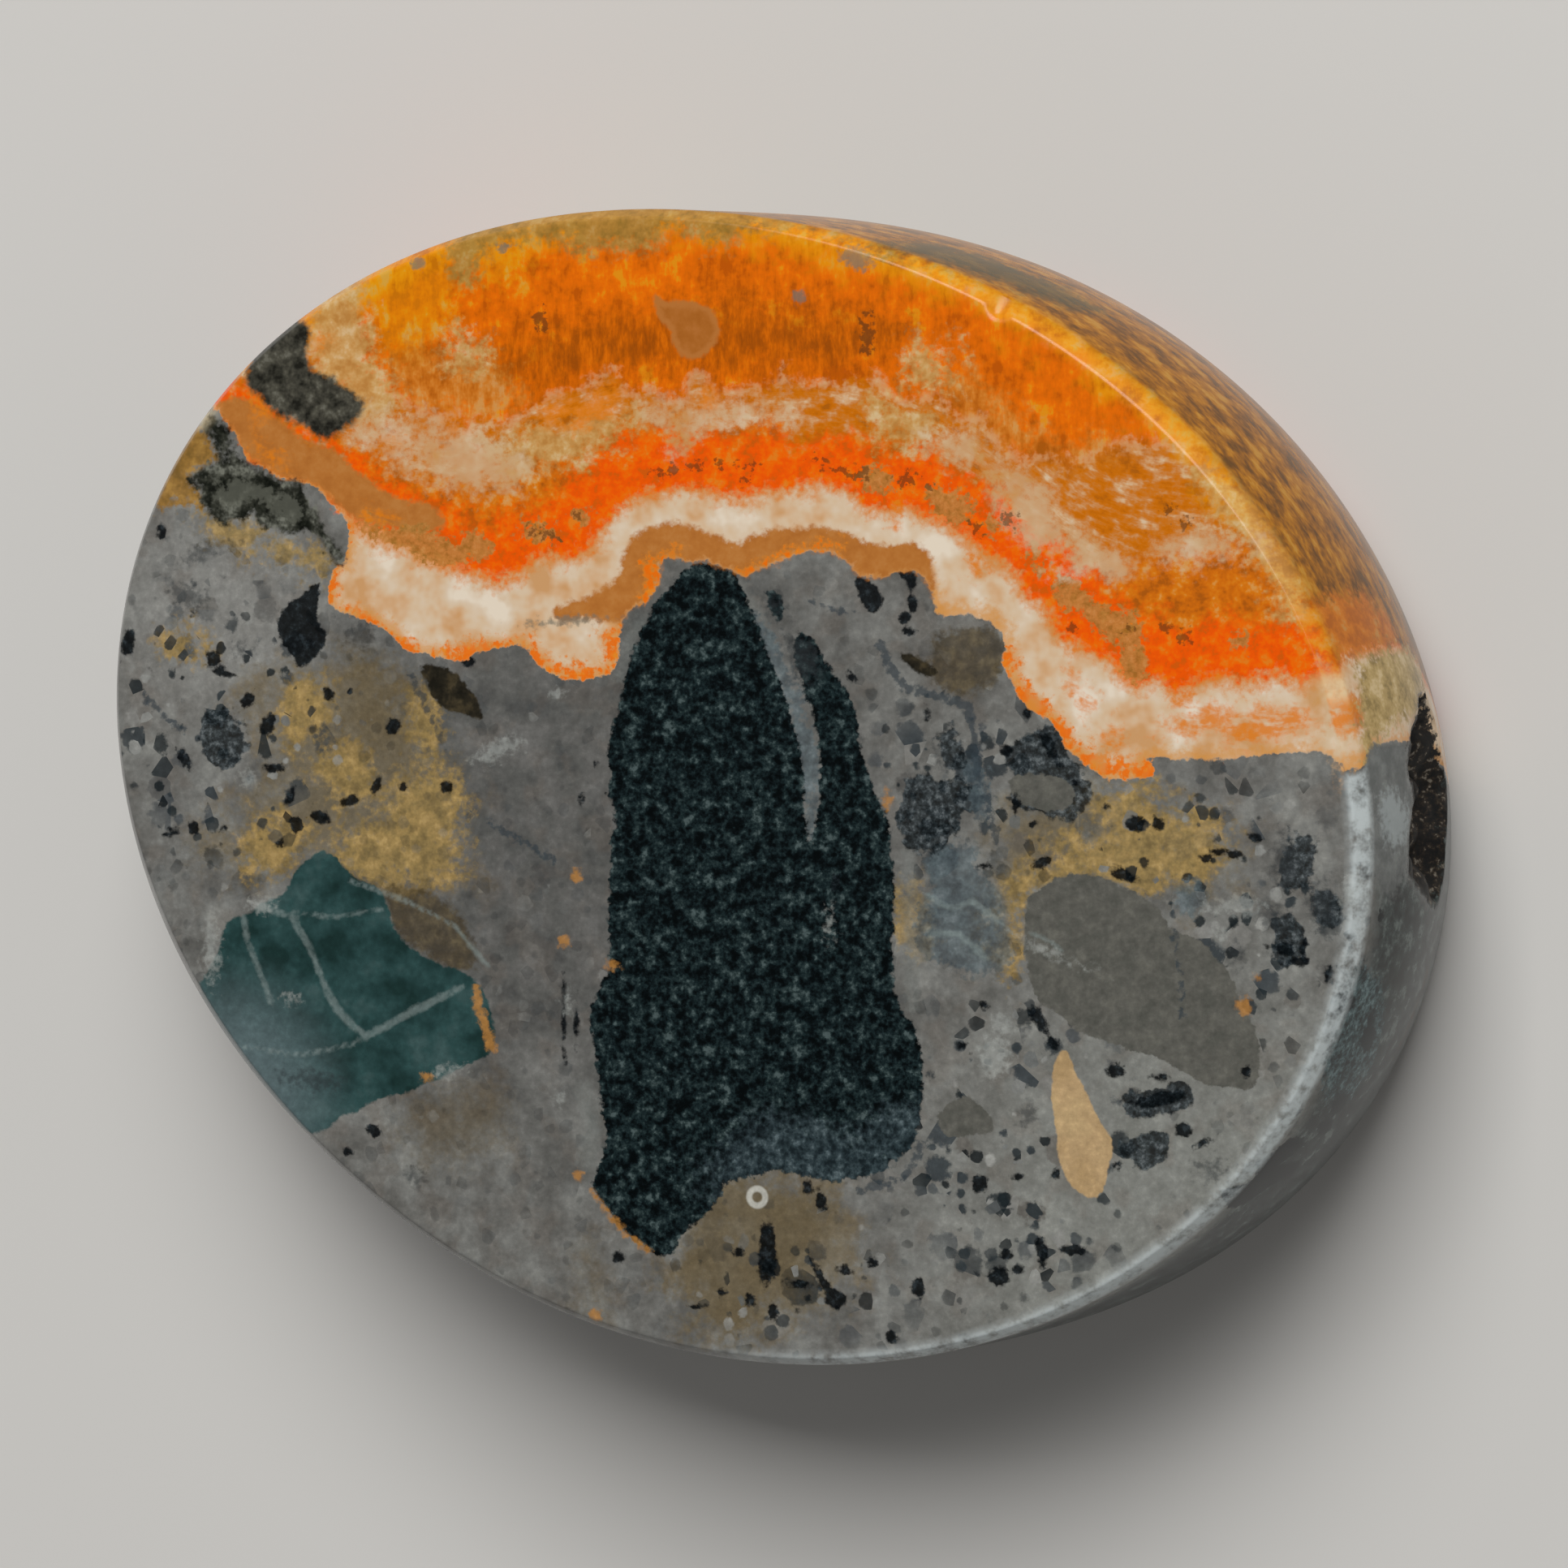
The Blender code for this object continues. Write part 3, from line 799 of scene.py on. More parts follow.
def ring_faces(first, count, next_first, next_count):
    """Faces between two rings, the next having as many, twice as many or half as many segments."""
    if count == next_count:
        at = np.arange(count)
        ahead = (at + 1) % count
        return np.stack([first + at, next_first + at, next_first + ahead, first + ahead], axis=1)
    coarse_first, fine_first = (first, next_first) if count < next_count else (next_first, first)
    coarse = min(count, next_count)
    at = np.arange(coarse)
    ahead = (at + 1) % coarse
    left, middle, right = 2 * at, 2 * at + 1, (2 * at + 2) % (2 * coarse)
    fans = [
        [coarse_first + at, fine_first + left, fine_first + middle],
        [coarse_first + at, fine_first + middle, coarse_first + ahead],
        [coarse_first + ahead, fine_first + middle, fine_first + right],
    ]
    faces = np.concatenate([np.stack(fan, axis=1) for fan in fans])
    return faces if count < next_count else faces[:, ::-1]


def stone_faces(counts):
    """All faces of the stone: a fan at each pole, and a strip between each ring and the next."""
    starts = np.concatenate([[0], np.cumsum(counts)])
    face_pole, back_pole = starts[-1], starts[-1] + 1
    faces = []
    at = np.arange(counts[0])
    faces += np.stack([np.full(counts[0], face_pole), at, (at + 1) % counts[0]], axis=1).tolist()
    for index in range(len(counts) - 1):
        strip = ring_faces(starts[index], counts[index], starts[index + 1], counts[index + 1])
        faces += strip.tolist()
    at = np.arange(counts[-1])
    last, ahead = starts[-2], (at + 1) % counts[-1]
    faces += np.stack([last + ahead, last + at, np.full(counts[-1], back_pole)], axis=1).tolist()
    return faces


def ease_in(value, start, end):
    """0 up to the start and 1 from the end on, rising in a smooth step between them."""
    share = np.clip((value - start) / (end - start), 0, 1)
    return share**2 * (3 - 2 * share)


def pattern_place(points):
    """Where on the face each point's pattern comes from: its place less the rise, with drift and sway."""
    depth = THICKNESS - points[:, 2]
    turn = math.radians(PHOTO_TURN)
    photo_up = np.array([-math.sin(turn), math.cos(turn)])
    rise = RIM_RISE * ease_in(depth, RIM_RISE_START, RIM_RISE_END)
    deep = ease_in(depth, DRIFT_START, THICKNESS)
    phase = 2 * math.pi * points[:, 1::-1] / SWAY_LENGTH
    sway = BACK_SWAY * np.sin(phase + [1.0, 2.5])
    return points[:, :2] - rise[:, None] * photo_up + deep[:, None] * (BACK_DRIFT + sway)


def sight_lines(pixels):
    """The way from the camera through each pixel of the photograph."""
    focal = LENS / SENSOR * PHOTO_SIZE
    across = (pixels[:, :1] - PHOTO_SIZE / 2) / focal
    up = (PHOTO_SIZE / 2 - pixels[:, 1:]) / focal
    return across * RIGHT + up * UP - BACK


def on_face(pixels):
    """Places on the plane of the face: each sight line followed down to it."""
    sight = sight_lines(np.array(pixels, dtype=float))
    reach = (THICKNESS - EYE[2]) / sight[:, 2]
    return EYE[:2] + reach[:, None] * sight[:, :2]


def on_side(pixels):
    """Unrolled places on the side: each sight line followed down until it is inside the stone."""
    sight = sight_lines(np.array(pixels, dtype=float))
    depth = np.linspace(0, THICKNESS, SIGHT_STEPS)
    reach = (THICKNESS - depth - EYE[2]) / sight[:, 2:]
    x = EYE[0] + reach * sight[:, :1]
    y = EYE[1] + reach * sight[:, 1:2]
    angle = np.arctan2(y, x)
    inside = np.hypot(x, y) < outline_radius(angle) + side_offset(angle, depth)
    first = np.argmax(inside, axis=1)
    rows = np.arange(len(sight))
    return np.stack([angle[rows, first] * UNROLLING_RADIUS, depth[first]], axis=1)


def smooth_loop(corners):
    """A closed outline through the corners: Catmull-Rom arcs of three steps each."""
    before, after, later = np.roll(corners, 1, 0), np.roll(corners, -1, 0), np.roll(corners, -2, 0)
    t = np.arange(3)[:, None, None] / 3
    bend = (2 * before - 5 * corners + 4 * after - later) * t**2
    twist = (3 * corners - before - 3 * after + later) * t**3
    curve = 0.5 * (2 * corners + (after - before) * t + bend + twist)
    return curve.transpose(1, 0, 2).reshape(-1, 2)


def squared_gap(x, y, start, end):
    """Square of the distance from each place to the nearest point of a straight segment."""
    run, rise = end - start
    across, up = x - start[0], y - start[1]
    share = np.clip((across * run + up * rise) / (run**2 + rise**2), 0, 1)
    return (across - share * run) ** 2 + (up - share * rise) ** 2


def loop_depth(places, corners):
    """How deep inside a closed outline each place lies: the distance to the outline, negative outside."""
    x, y = np.ascontiguousarray(places.T)
    squared = np.full(len(x), np.inf)
    inside = np.zeros(len(x), dtype=bool)
    for start, end in zip(corners, np.roll(corners, -1, 0)):
        squared = np.minimum(squared, squared_gap(x, y, start, end))
        rise = end[1] - start[1]
        if rise != 0:
            crossing = start[0] + (y - start[1]) * (end[0] - start[0]) / rise
            inside ^= ((start[1] > y) != (end[1] > y)) & (x < crossing)
    gap = np.sqrt(squared)
    return np.where(inside, gap, -gap)


def stroke_depth(places, path, half_width):
    """How deep inside a stroke each place lies: its half width less the distance to its path."""
    x, y = places.T
    gaps = [squared_gap(x, y, start, end) for start, end in zip(path, path[1:])]
    return half_width - np.sqrt(np.min(gaps, axis=0))


def spot_depth(places, level, spot):
    """How deep inside an ellipsoid each place lies, the level being its height off the middle."""
    x, y, half_long, half_short, turn = spot
    away = places - [x, y]
    turned = math.radians(turn)
    along = away @ [math.cos(turned), math.sin(turned)] / half_long
    across = away @ [-math.sin(turned), math.cos(turned)] / half_short
    nearness = np.sqrt(along**2 + across**2 + (2 * level / (half_long + half_short)) ** 2)
    return (1 - nearness) * min(half_long, half_short)


def merge_near(mark, places, corners, depth_of, margin=FAR):
    """Adds one more shape to a marking, worked out only for the places near the shape's corners."""
    low, high = corners.min(axis=0) - margin, corners.max(axis=0) + margin
    near = np.all((places > low) & (places < high), axis=1)
    if near.any():
        mark[near] = np.maximum(mark[near], depth_of(near))


def front_depth(places, front):
    """How far above a front each place lies: inside an outline closed far above it."""
    corners = np.array(FAR_ABOVE + front)
    lifted = on_face(corners)
    return loop_depth(places, np.vstack([lifted[:2], smooth_loop(lifted[2:])[:-3]]))


def flow_height(places):
    """How far up the photograph each place lies from the bands' general run, which is drawn smooth."""
    turn = math.radians(PHOTO_TURN)
    to_photo = np.array([[math.cos(turn), -math.sin(turn)], [math.sin(turn), math.cos(turn)]])
    run = smooth_loop(on_face(FLOW) @ to_photo)[:-3]
    across, up = (places @ to_photo).T
    return up - np.interp(across, run[:, 0], run[:, 1])


def photo_spot(spot, project):
    """A spot's middle, half lengths and turn on the stone, from its pixels."""
    x, y, half_long, half_short, turn = spot
    turned = math.radians(turn)
    reach = 2.0
    tips = [(x, y), (x + reach * math.cos(turned), y + reach * math.sin(turned))]
    middle, tip = project(tips)
    away = tip - middle
    heading = math.degrees(math.atan2(away[1], away[0]))
    return (*middle, half_long * MM_PER_PIXEL, half_short * MM_PER_PIXEL, heading)


def face_marks(name, places, depth):
    """Depth inside the markings of one name that start on the face and taper with depth."""
    mark = np.full(len(places), -FAR)
    taper, thinning = TAPER * depth, STROKE_TAPER * depth
    for pixels in PATCHES.get(name, []):
        corners = smooth_loop(on_face(pixels))
        merge_near(mark, places, corners, lambda near: loop_depth(places[near], corners) - taper[near])
    for spot in SPOTS.get(name, []):
        lifted = photo_spot(spot, on_face)
        middle = np.array([lifted[:2]])
        margin = FAR + lifted[2]
        merge_near(mark, places, middle, lambda near: spot_depth(places[near], depth[near], lifted), margin)
    for half_width, pixels in STROKES.get(name, []):
        path = on_face(pixels)
        width = half_width * MM_PER_PIXEL
        merge_near(mark, places, path, lambda near: stroke_depth(places[near], path, width) - thinning[near])
    return mark


def rim_marks(name, rolled):
    """Depth inside the markings of one name on the side, worked out on its unrolled surface."""
    mark = np.full(len(rolled), -FAR)
    for pixels in RIM_PATCHES.get(name, []):
        corners = smooth_loop(on_side(pixels))
        merge_near(mark, rolled, corners, lambda near: loop_depth(rolled[near], corners))
    for spot in RIM_SPOTS.get(name, []):
        lifted = photo_spot(spot, on_side)
        middle = np.array([lifted[:2]])
        margin = FAR + lifted[2]
        merge_near(mark, rolled, middle, lambda near: spot_depth(rolled[near], 0.0, lifted), margin)
    return mark


def back_marks(name, points):
    """Depth inside the fragments of one name that lie in the back."""
    mark = np.full(len(points), -FAR)
    for spot in BACK_SPOTS.get(name, []):
        mark = np.maximum(mark, spot_depth(points[:, :2], points[:, 2], spot))
    return mark


def stone_marks(points, on_rim):
    """Every marking's attribute: name to depth inside it, in mm, at each point."""
    depth = THICKNESS - points[:, 2]
    places = pattern_place(points)
    angle = np.arctan2(points[:, 1], points[:, 0])
    rolled = np.stack([angle * UNROLLING_RADIUS, depth], axis=1)
    marks = {name: front_depth(places, front) for name, front in FRONTS.items()}
    names = dict.fromkeys([*PATCHES, *SPOTS, *STROKES, *RIM_PATCHES, *RIM_SPOTS, *BACK_SPOTS])
    for name in names:
        mark = np.maximum(face_marks(name, places, depth), back_marks(name, points))
        mark[on_rim] = np.maximum(mark[on_rim], rim_marks(name, rolled[on_rim]))
        marks[name] = mark
    marks["flow"] = flow_height(places)
    marks["rimward"] = outline_radius(angle) - np.hypot(points[:, 0], points[:, 1])
    past_bevel = np.maximum(marks["rimward"] - bevel_width(angle), depth - BEVEL_DEPTH)
    # Where the painted highlight of the bevel lies: 1 on the bevel, fading out past it
    marks["bevel"] = np.clip(1 - past_bevel / BEVEL_HIGHLIGHT_FADE, 0, 1)
    marks["salmon"] = np.minimum(marks["salmon"], marks["vein"])
    nearness = vug_nearness(angle, depth)[0]
    marks["vug"] = np.where(on_rim, (1 - nearness) * VUG_HALF_HEIGHT, -FAR)
    return marks


def build_stone():
    """The stone's mesh with its markings, centred on its box as the CAD solid is."""
    rings = stone_rings()
    counts = [len(ring) for ring in rings]
    poles = [[0, 0, THICKNESS], [0, 0, 0]]
    points = np.vstack([*rings, poles])
    face_count = sum(counts[: FACE_RINGS - 1])
    on_rim = np.arange(len(points)) >= face_count
    marks = stone_marks(points, on_rim)
    middle = (points.min(axis=0) + points.max(axis=0)) / 2
    middle[2] = 0.0
    mesh = bpy.data.meshes.new("palm_stone_polished")
    mesh.from_pydata(((points - middle) * METRES).tolist(), [], stone_faces(counts))
    for name, mark in marks.items():
        attribute = mesh.attributes.new(name, "FLOAT", "POINT")
        attribute.data.foreach_set("value", mark.astype(np.float32))
    mesh.shade_smooth()
    mesh.validate()
    stone = bpy.data.objects.new("palm_stone_polished", mesh)
    bpy.context.scene.collection.objects.link(stone)
    return stone, middle


def rgba(code):
    """A linear colour from its sRGB hex value."""
    parts = [int(code[i : i + 2], 16) / 255 for i in (1, 3, 5)]
    return (*[part / 12.92 if part <= 0.04045 else ((part + 0.055) / 1.055) ** 2.4 for part in parts], 1.0)


def add(tree, kind, inputs=None, stops=None, **settings):
    """Adds a node, sets its settings and ramp stops, and gives its sockets values or links."""
    node = tree.nodes.new(kind)
    for name, value in settings.items():
        setattr(node, name, value)
    for socket_name, value in (inputs or {}).items():
        socket = node.inputs[socket_name]
        if isinstance(value, bpy.types.NodeSocket):
            tree.links.new(value, socket)
        else:
            socket.default_value = value
    if stops:
        elements = node.color_ramp.elements
        while len(elements) < len(stops):
            elements.new(1.0)
        for element, (place, code) in zip(elements, stops):
            element.position = place
            element.color = rgba(code)
    return node


# The rock's grain at each size: mm across a blotch, then the noise's detail and roughness
GRAINS = {
    "sway": (1.6, 2, 0.5),
    "clouds": (2.6, 3, 0.62),
    "patches": (0.95, 3, 0.68),
    # Real grains, about 0.05 mm across, are too fine to show, so the finest are drawn this coarse
    "pepper": (0.42, 3, 0.7),
    "frays": (0.32, 2, 0.6),
}

# Grain drawn out along the bands, upright for the fibres, or along the rim: mm across, along and down
DRAWN_GRAINS = {
    "wisps": (1.7, 0.6, 1.4),
    "fibres": (0.45, 1.6, 1.2),
}
RIM_STREAKS = (1.6, 1.6, 0.7)

# Nearly all of the noise lies between these values
NOISE_LOW, NOISE_HIGH = 0.36, 0.66


class Painter:
    """Lays the stone's colours over one another in one material, each inside its own marking."""

    def __init__(self, tree, middle):
        self.tree = tree
        self.middle = middle
        coordinates = add(tree, "ShaderNodeTexCoord").outputs["Object"]
        placing = {"Vector": coordinates, "Scale": [1 / METRES] * 3}
        placing["Rotation"] = (0, 0, -math.radians(PHOTO_TURN))
        self.mm = add(tree, "ShaderNodeMapping", placing).outputs["Vector"]
        split = add(tree, "ShaderNodeSeparateXYZ", {"Vector": self.mm}).outputs
        self.across = split["X"]
        self.height = split["Z"]
        flow = add(tree, "ShaderNodeAttribute", attribute_name="flow").outputs["Fac"]
        self.grain = {name: self.blotches(self.mm, *settings) for name, settings in GRAINS.items()}
        for name, lengths in DRAWN_GRAINS.items():
            measures = zip("XYZ", (split["X"], flow, split["Z"]), lengths)
            parts = {axis: self.sum((value, 1 / length)) for axis, value, length in measures}
            drawn = add(tree, "ShaderNodeCombineXYZ", parts).outputs["Vector"]
            self.grain[name] = self.blotches(drawn, 1.0, 3, 0.66)
        streaked = {0: self.mm, 1: tuple(1 / length for length in RIM_STREAKS)}
        streaked = add(tree, "ShaderNodeVectorMath", streaked, operation="MULTIPLY").outputs["Vector"]
        self.grain["rim"] = self.blotches(streaked, 1.0, 3, 0.68)
        self.depths = {}
        self.colour = None

    def blotches(self, vector, size, detail, roughness):
        """Noise whose blotches are about this many mm across."""
        inputs = {"Vector": vector, "Scale": 1 / size, "Detail": detail, "Roughness": roughness}
        return add(self.tree, "ShaderNodeTexNoise", inputs).outputs["Fac"]

    def sum(self, *terms):
        """A weighted sum: each term is a value and its weight, or a plain number."""
        total = 0.0
        for term in terms:
            value, weight = term if isinstance(term, tuple) else (term, 1.0)
            part = {0: value, 1: weight, 2: total}
            total = add(self.tree, "ShaderNodeMath", part, operation="MULTIPLY_ADD").outputs[0]
        return total

    def wander(self, grain, *codes):
        """A colour that wanders through these ones with the grain, and is mostly one of the middle ones."""
        stops = list(zip(np.linspace(NOISE_LOW, NOISE_HIGH, len(codes)).tolist(), codes))
        return add(self.tree, "ShaderNodeValToRGB", {"Fac": self.grain[grain]}, stops).outputs["Color"]

    def depth_in(self, name, sway=0.0, fray=0.12):
        """Depth inside a marking, its edge swayed by broad grain and frayed by fine grain, in mm."""
        if name not in self.depths:
            self.depths[name] = add(self.tree, "ShaderNodeAttribute", attribute_name=name).outputs["Fac"]
        grains = self.grain["sway"], 3 * sway, self.grain["frays"], 3 * fray
        return self.sum(self.depths[name], grains[:2], grains[2:], -1.5 * (sway + fray))

    def mask(self, name, soft=0.08, sway=0.0, fray=0.12, inset=0.0, strength=1.0):
        """1 inside a marking and 0 outside, across a soft edge that may lie inside its outline."""
        return self.rising(self.depth_in(name, sway, fray), inset - soft, inset + soft, strength)

    def apart(self, value, other):
        """How far a value is from another number, either way."""
        away = self.sum(value, -other)
        return add(self.tree, "ShaderNodeMath", {0: away}, operation="ABSOLUTE").outputs[0]

    def rising(self, value, low, high, strength=1.0):
        """0 at the low value and the strength at the high one, with a smooth rise between."""
        inputs = {"Value": value, "From Min": low, "From Max": high, "To Max": strength}
        node = add(self.tree, "ShaderNodeMapRange", inputs, interpolation_type="SMOOTHSTEP")
        return node.outputs["Result"]

    def lay(self, colour, *masks, blend="MIX"):
        """Lays a colour over what is there, as far as the product of the masks says."""
        over = rgba(colour) if isinstance(colour, str) else colour
        share = 1.0
        for mask in masks:
            share = add(self.tree, "ShaderNodeMath", {0: mask, 1: share}, operation="MULTIPLY").outputs[0]
        mixed = {0: share, 6: self.colour or over, 7: over}
        self.colour = add(self.tree, "ShaderNodeMix", mixed, data_type="RGBA", blend_type=blend).outputs[2]

    def distance_from(self, pixel):
        """Distance in mm from the place on the face that a pixel of the photograph shows."""
        x, y = on_face([pixel])[0] - self.middle[:2]
        turn = math.radians(PHOTO_TURN)
        place = (x * math.cos(turn) + y * math.sin(turn), y * math.cos(turn) - x * math.sin(turn), THICKNESS)
        node = add(self.tree, "ShaderNodeVectorMath", {0: self.mm, 1: place}, operation="DISTANCE")
        return node.outputs["Value"]

    def lay_fragments(self, size, share, codes, *masks):
        """Lays random fragments: a share of the cells, this many mm across, hold one of a chance width."""
        cells = add(self.tree, "ShaderNodeTexVoronoi", {"Vector": self.mm, "Scale": 1 / size})
        chance = add(self.tree, "ShaderNodeSeparateColor", {"Color": cells.outputs["Color"]}).outputs
        widest = 0.66
        radius = (chance["Red"], widest / share), -widest * (1 - share) / share
        uneven = (self.grain["frays"], 0.45), (self.grain["sway"], 0.8), -0.62
        inside = self.sum(*radius, (cells.outputs["Distance"], -1.0), *uneven)
        stops = list(zip(np.linspace(0, 1, len(codes)).tolist(), codes))
        colour = add(self.tree, "ShaderNodeValToRGB", {"Fac": chance["Green"]}, stops).outputs["Color"]
        self.lay(colour, self.rising(inside, -0.05, 0.12), *masks)


# Pixels on the face where the grey is darkest, where it and the green pale, and of the small ring
DARK_HEART = (740, 1040)
PALE_END = (1480, 1560)
PALE_CORNER = (290, 1340)
PALE_LEFT = (270, 750)
RING = (933, 1475)


def paint_breccia(paint):
    """The grey lower half: volcanic mud with ochre stains and fragments of older rock."""
    away = paint.distance_from(DARK_HEART)
    paint.lay(paint.wander("clouds", "#4a4a48", "#545451", "#5c5b58", "#656461"))
    mud = paint.wander("clouds", "#5b5a56", "#666561", "#70706c", "#7c7c77")
    paint.lay(mud, paint.rising(away, 6.0, 22.0))
    paint.lay("#888a83", paint.rising(paint.distance_from(PALE_END), 20.0, 5.0, 0.45))
    paint.lay("#8a8984", paint.rising(paint.distance_from(PALE_LEFT), 9.0, 2.0, 0.5))
    paint.lay("#625a52", paint.rising(paint.grain["sway"], 0.48, 0.64, 0.3))
    crowd = paint.mask("crowd", 2.5, 1.5)
    paint.lay("#6c5e42", paint.mask("stain", 1.4, 1.8, 1.2, strength=0.6))
    codes = "#182023", "#2c3439", "#42474a", "#5a5650", "#858581"
    paint.lay_fragments(1.5, 0.8, codes, paint.sum((crowd, 0.75), 0.1))
    ochre = paint.wander("patches", "#76633c", "#8a7446", "#997f4c", "#ab8f5a")
    paint.lay(ochre, paint.mask("ochre", 0.7, 1.2, 1.0, inset=-0.25, strength=0.85))
    paint.lay("#5a4d34", paint.mask("rust", 1.5, 1.2, 1.0, strength=0.5))
    codes = "#0e1417", "#1c2427", "#30373b", "#8f8f8a"
    paint.lay_fragments(0.72, 0.5, codes, paint.sum((crowd, 0.65), 0.25))
    paint.lay("#70736f", paint.mask("halo", 0.35, 0.3, 0.3, strength=0.5))
    steel = paint.wander("patches", "#353f44", "#455055", "#536064", "#687377")
    paint.lay(steel, paint.mask("steel", 0.25, 0.4, 0.5, strength=0.7))
    slag = paint.wander("pepper", "#090e10", "#1c2326", "#343b3e", "#545a5c")
    paint.lay(slag, paint.mask("slag", 0.12, 0.8, 0.25, strength=0.9))
    clast = paint.wander("patches", "#4f4f49", "#575650", "#5e5d56")
    paint.lay(clast, paint.mask("clast", 0.06, 0.15, 0.15))
    moss = paint.wander("patches", "#3a3224", "#483e2c", "#5c5038")
    paint.lay(moss, paint.mask("moss", 0.3, 0.3, 0.35, strength=0.8))
    green = paint.wander("clouds", "#182d2b", "#213938", "#2a4443", "#384f4e")
    paint.lay(green, paint.mask("green", 0.08, 0.15, 0.12))
    lighter = paint.rising(paint.distance_from(PALE_CORNER), 7.5, 1.5, 0.85)
    paint.lay("#586769", paint.mask("green", 0.1, 0.2, 0.1), lighter)
    paint.lay(paint.wander("patches", "#1a1812", "#27231a", "#3f3727"), paint.mask("umber", 0.08, 0.1))
    paint.grain["tooth"] = paint.sum((paint.grain["pepper"], 0.7), (paint.grain["patches"], 0.7), -0.21)
    dark = "#030708", "#060c0e", "#0c1517", "#142022", "#1e2a2b", "#2d3939", "#414d4d"
    tooth = paint.wander("tooth", *dark)
    paint.lay(tooth, paint.mask("tooth", 0.08, 0.15, 0.2))
    fringe = paint.wander("tooth", "#1d272b", "#2c383c", "#3d494d", "#566266")
    frayed = paint.mask("fringe", 0.9, 0.8, 1.2, strength=0.75)
    paint.lay(fringe, paint.mask("tooth", 0.1, 0.12, 0.25), frayed)
    paint.lay("#2c3032", paint.mask("murk", 0.4, 0.4, 0.6, strength=0.6))
    ink = paint.wander("pepper", "#010507", "#060b0e", "#0e1417", "#20272b")
    paint.lay(ink, paint.mask("ink", 0.08, 0.15, 0.14, strength=0.96))
    paint.lay("#30393f", paint.mask("seam", 0.1, 0.15, 0.25, strength=0.7))
    paint.lay("#7f8b88", paint.mask("thread", 0.12, 0.08, 0.1, strength=0.45))
    carrot = paint.wander("clouds", "#a38861", "#aa8f69", "#b0966e")
    paint.lay(carrot, paint.mask("carrot", 0.06, 0.05, 0.08))
    paint.lay("#9b9e99", paint.mask("chalk", 0.3, 0.2, 0.5, strength=0.5))
    off_ring = paint.apart(paint.distance_from(RING), 0.42)
    paint.lay("#b4b3aa", paint.rising(off_ring, 0.22, 0.08, 0.85))
    paint.lay("#a8763a", paint.mask("ember", 0.14, 0.15, 0.25, strength=0.75))
    speckle = paint.wander("pepper", "#9c9c9c", "#b0b0b0", "#bcbcbc", "#cacaca", "#e0e0e0")
    paint.lay(speckle, 0.4, blend="OVERLAY")


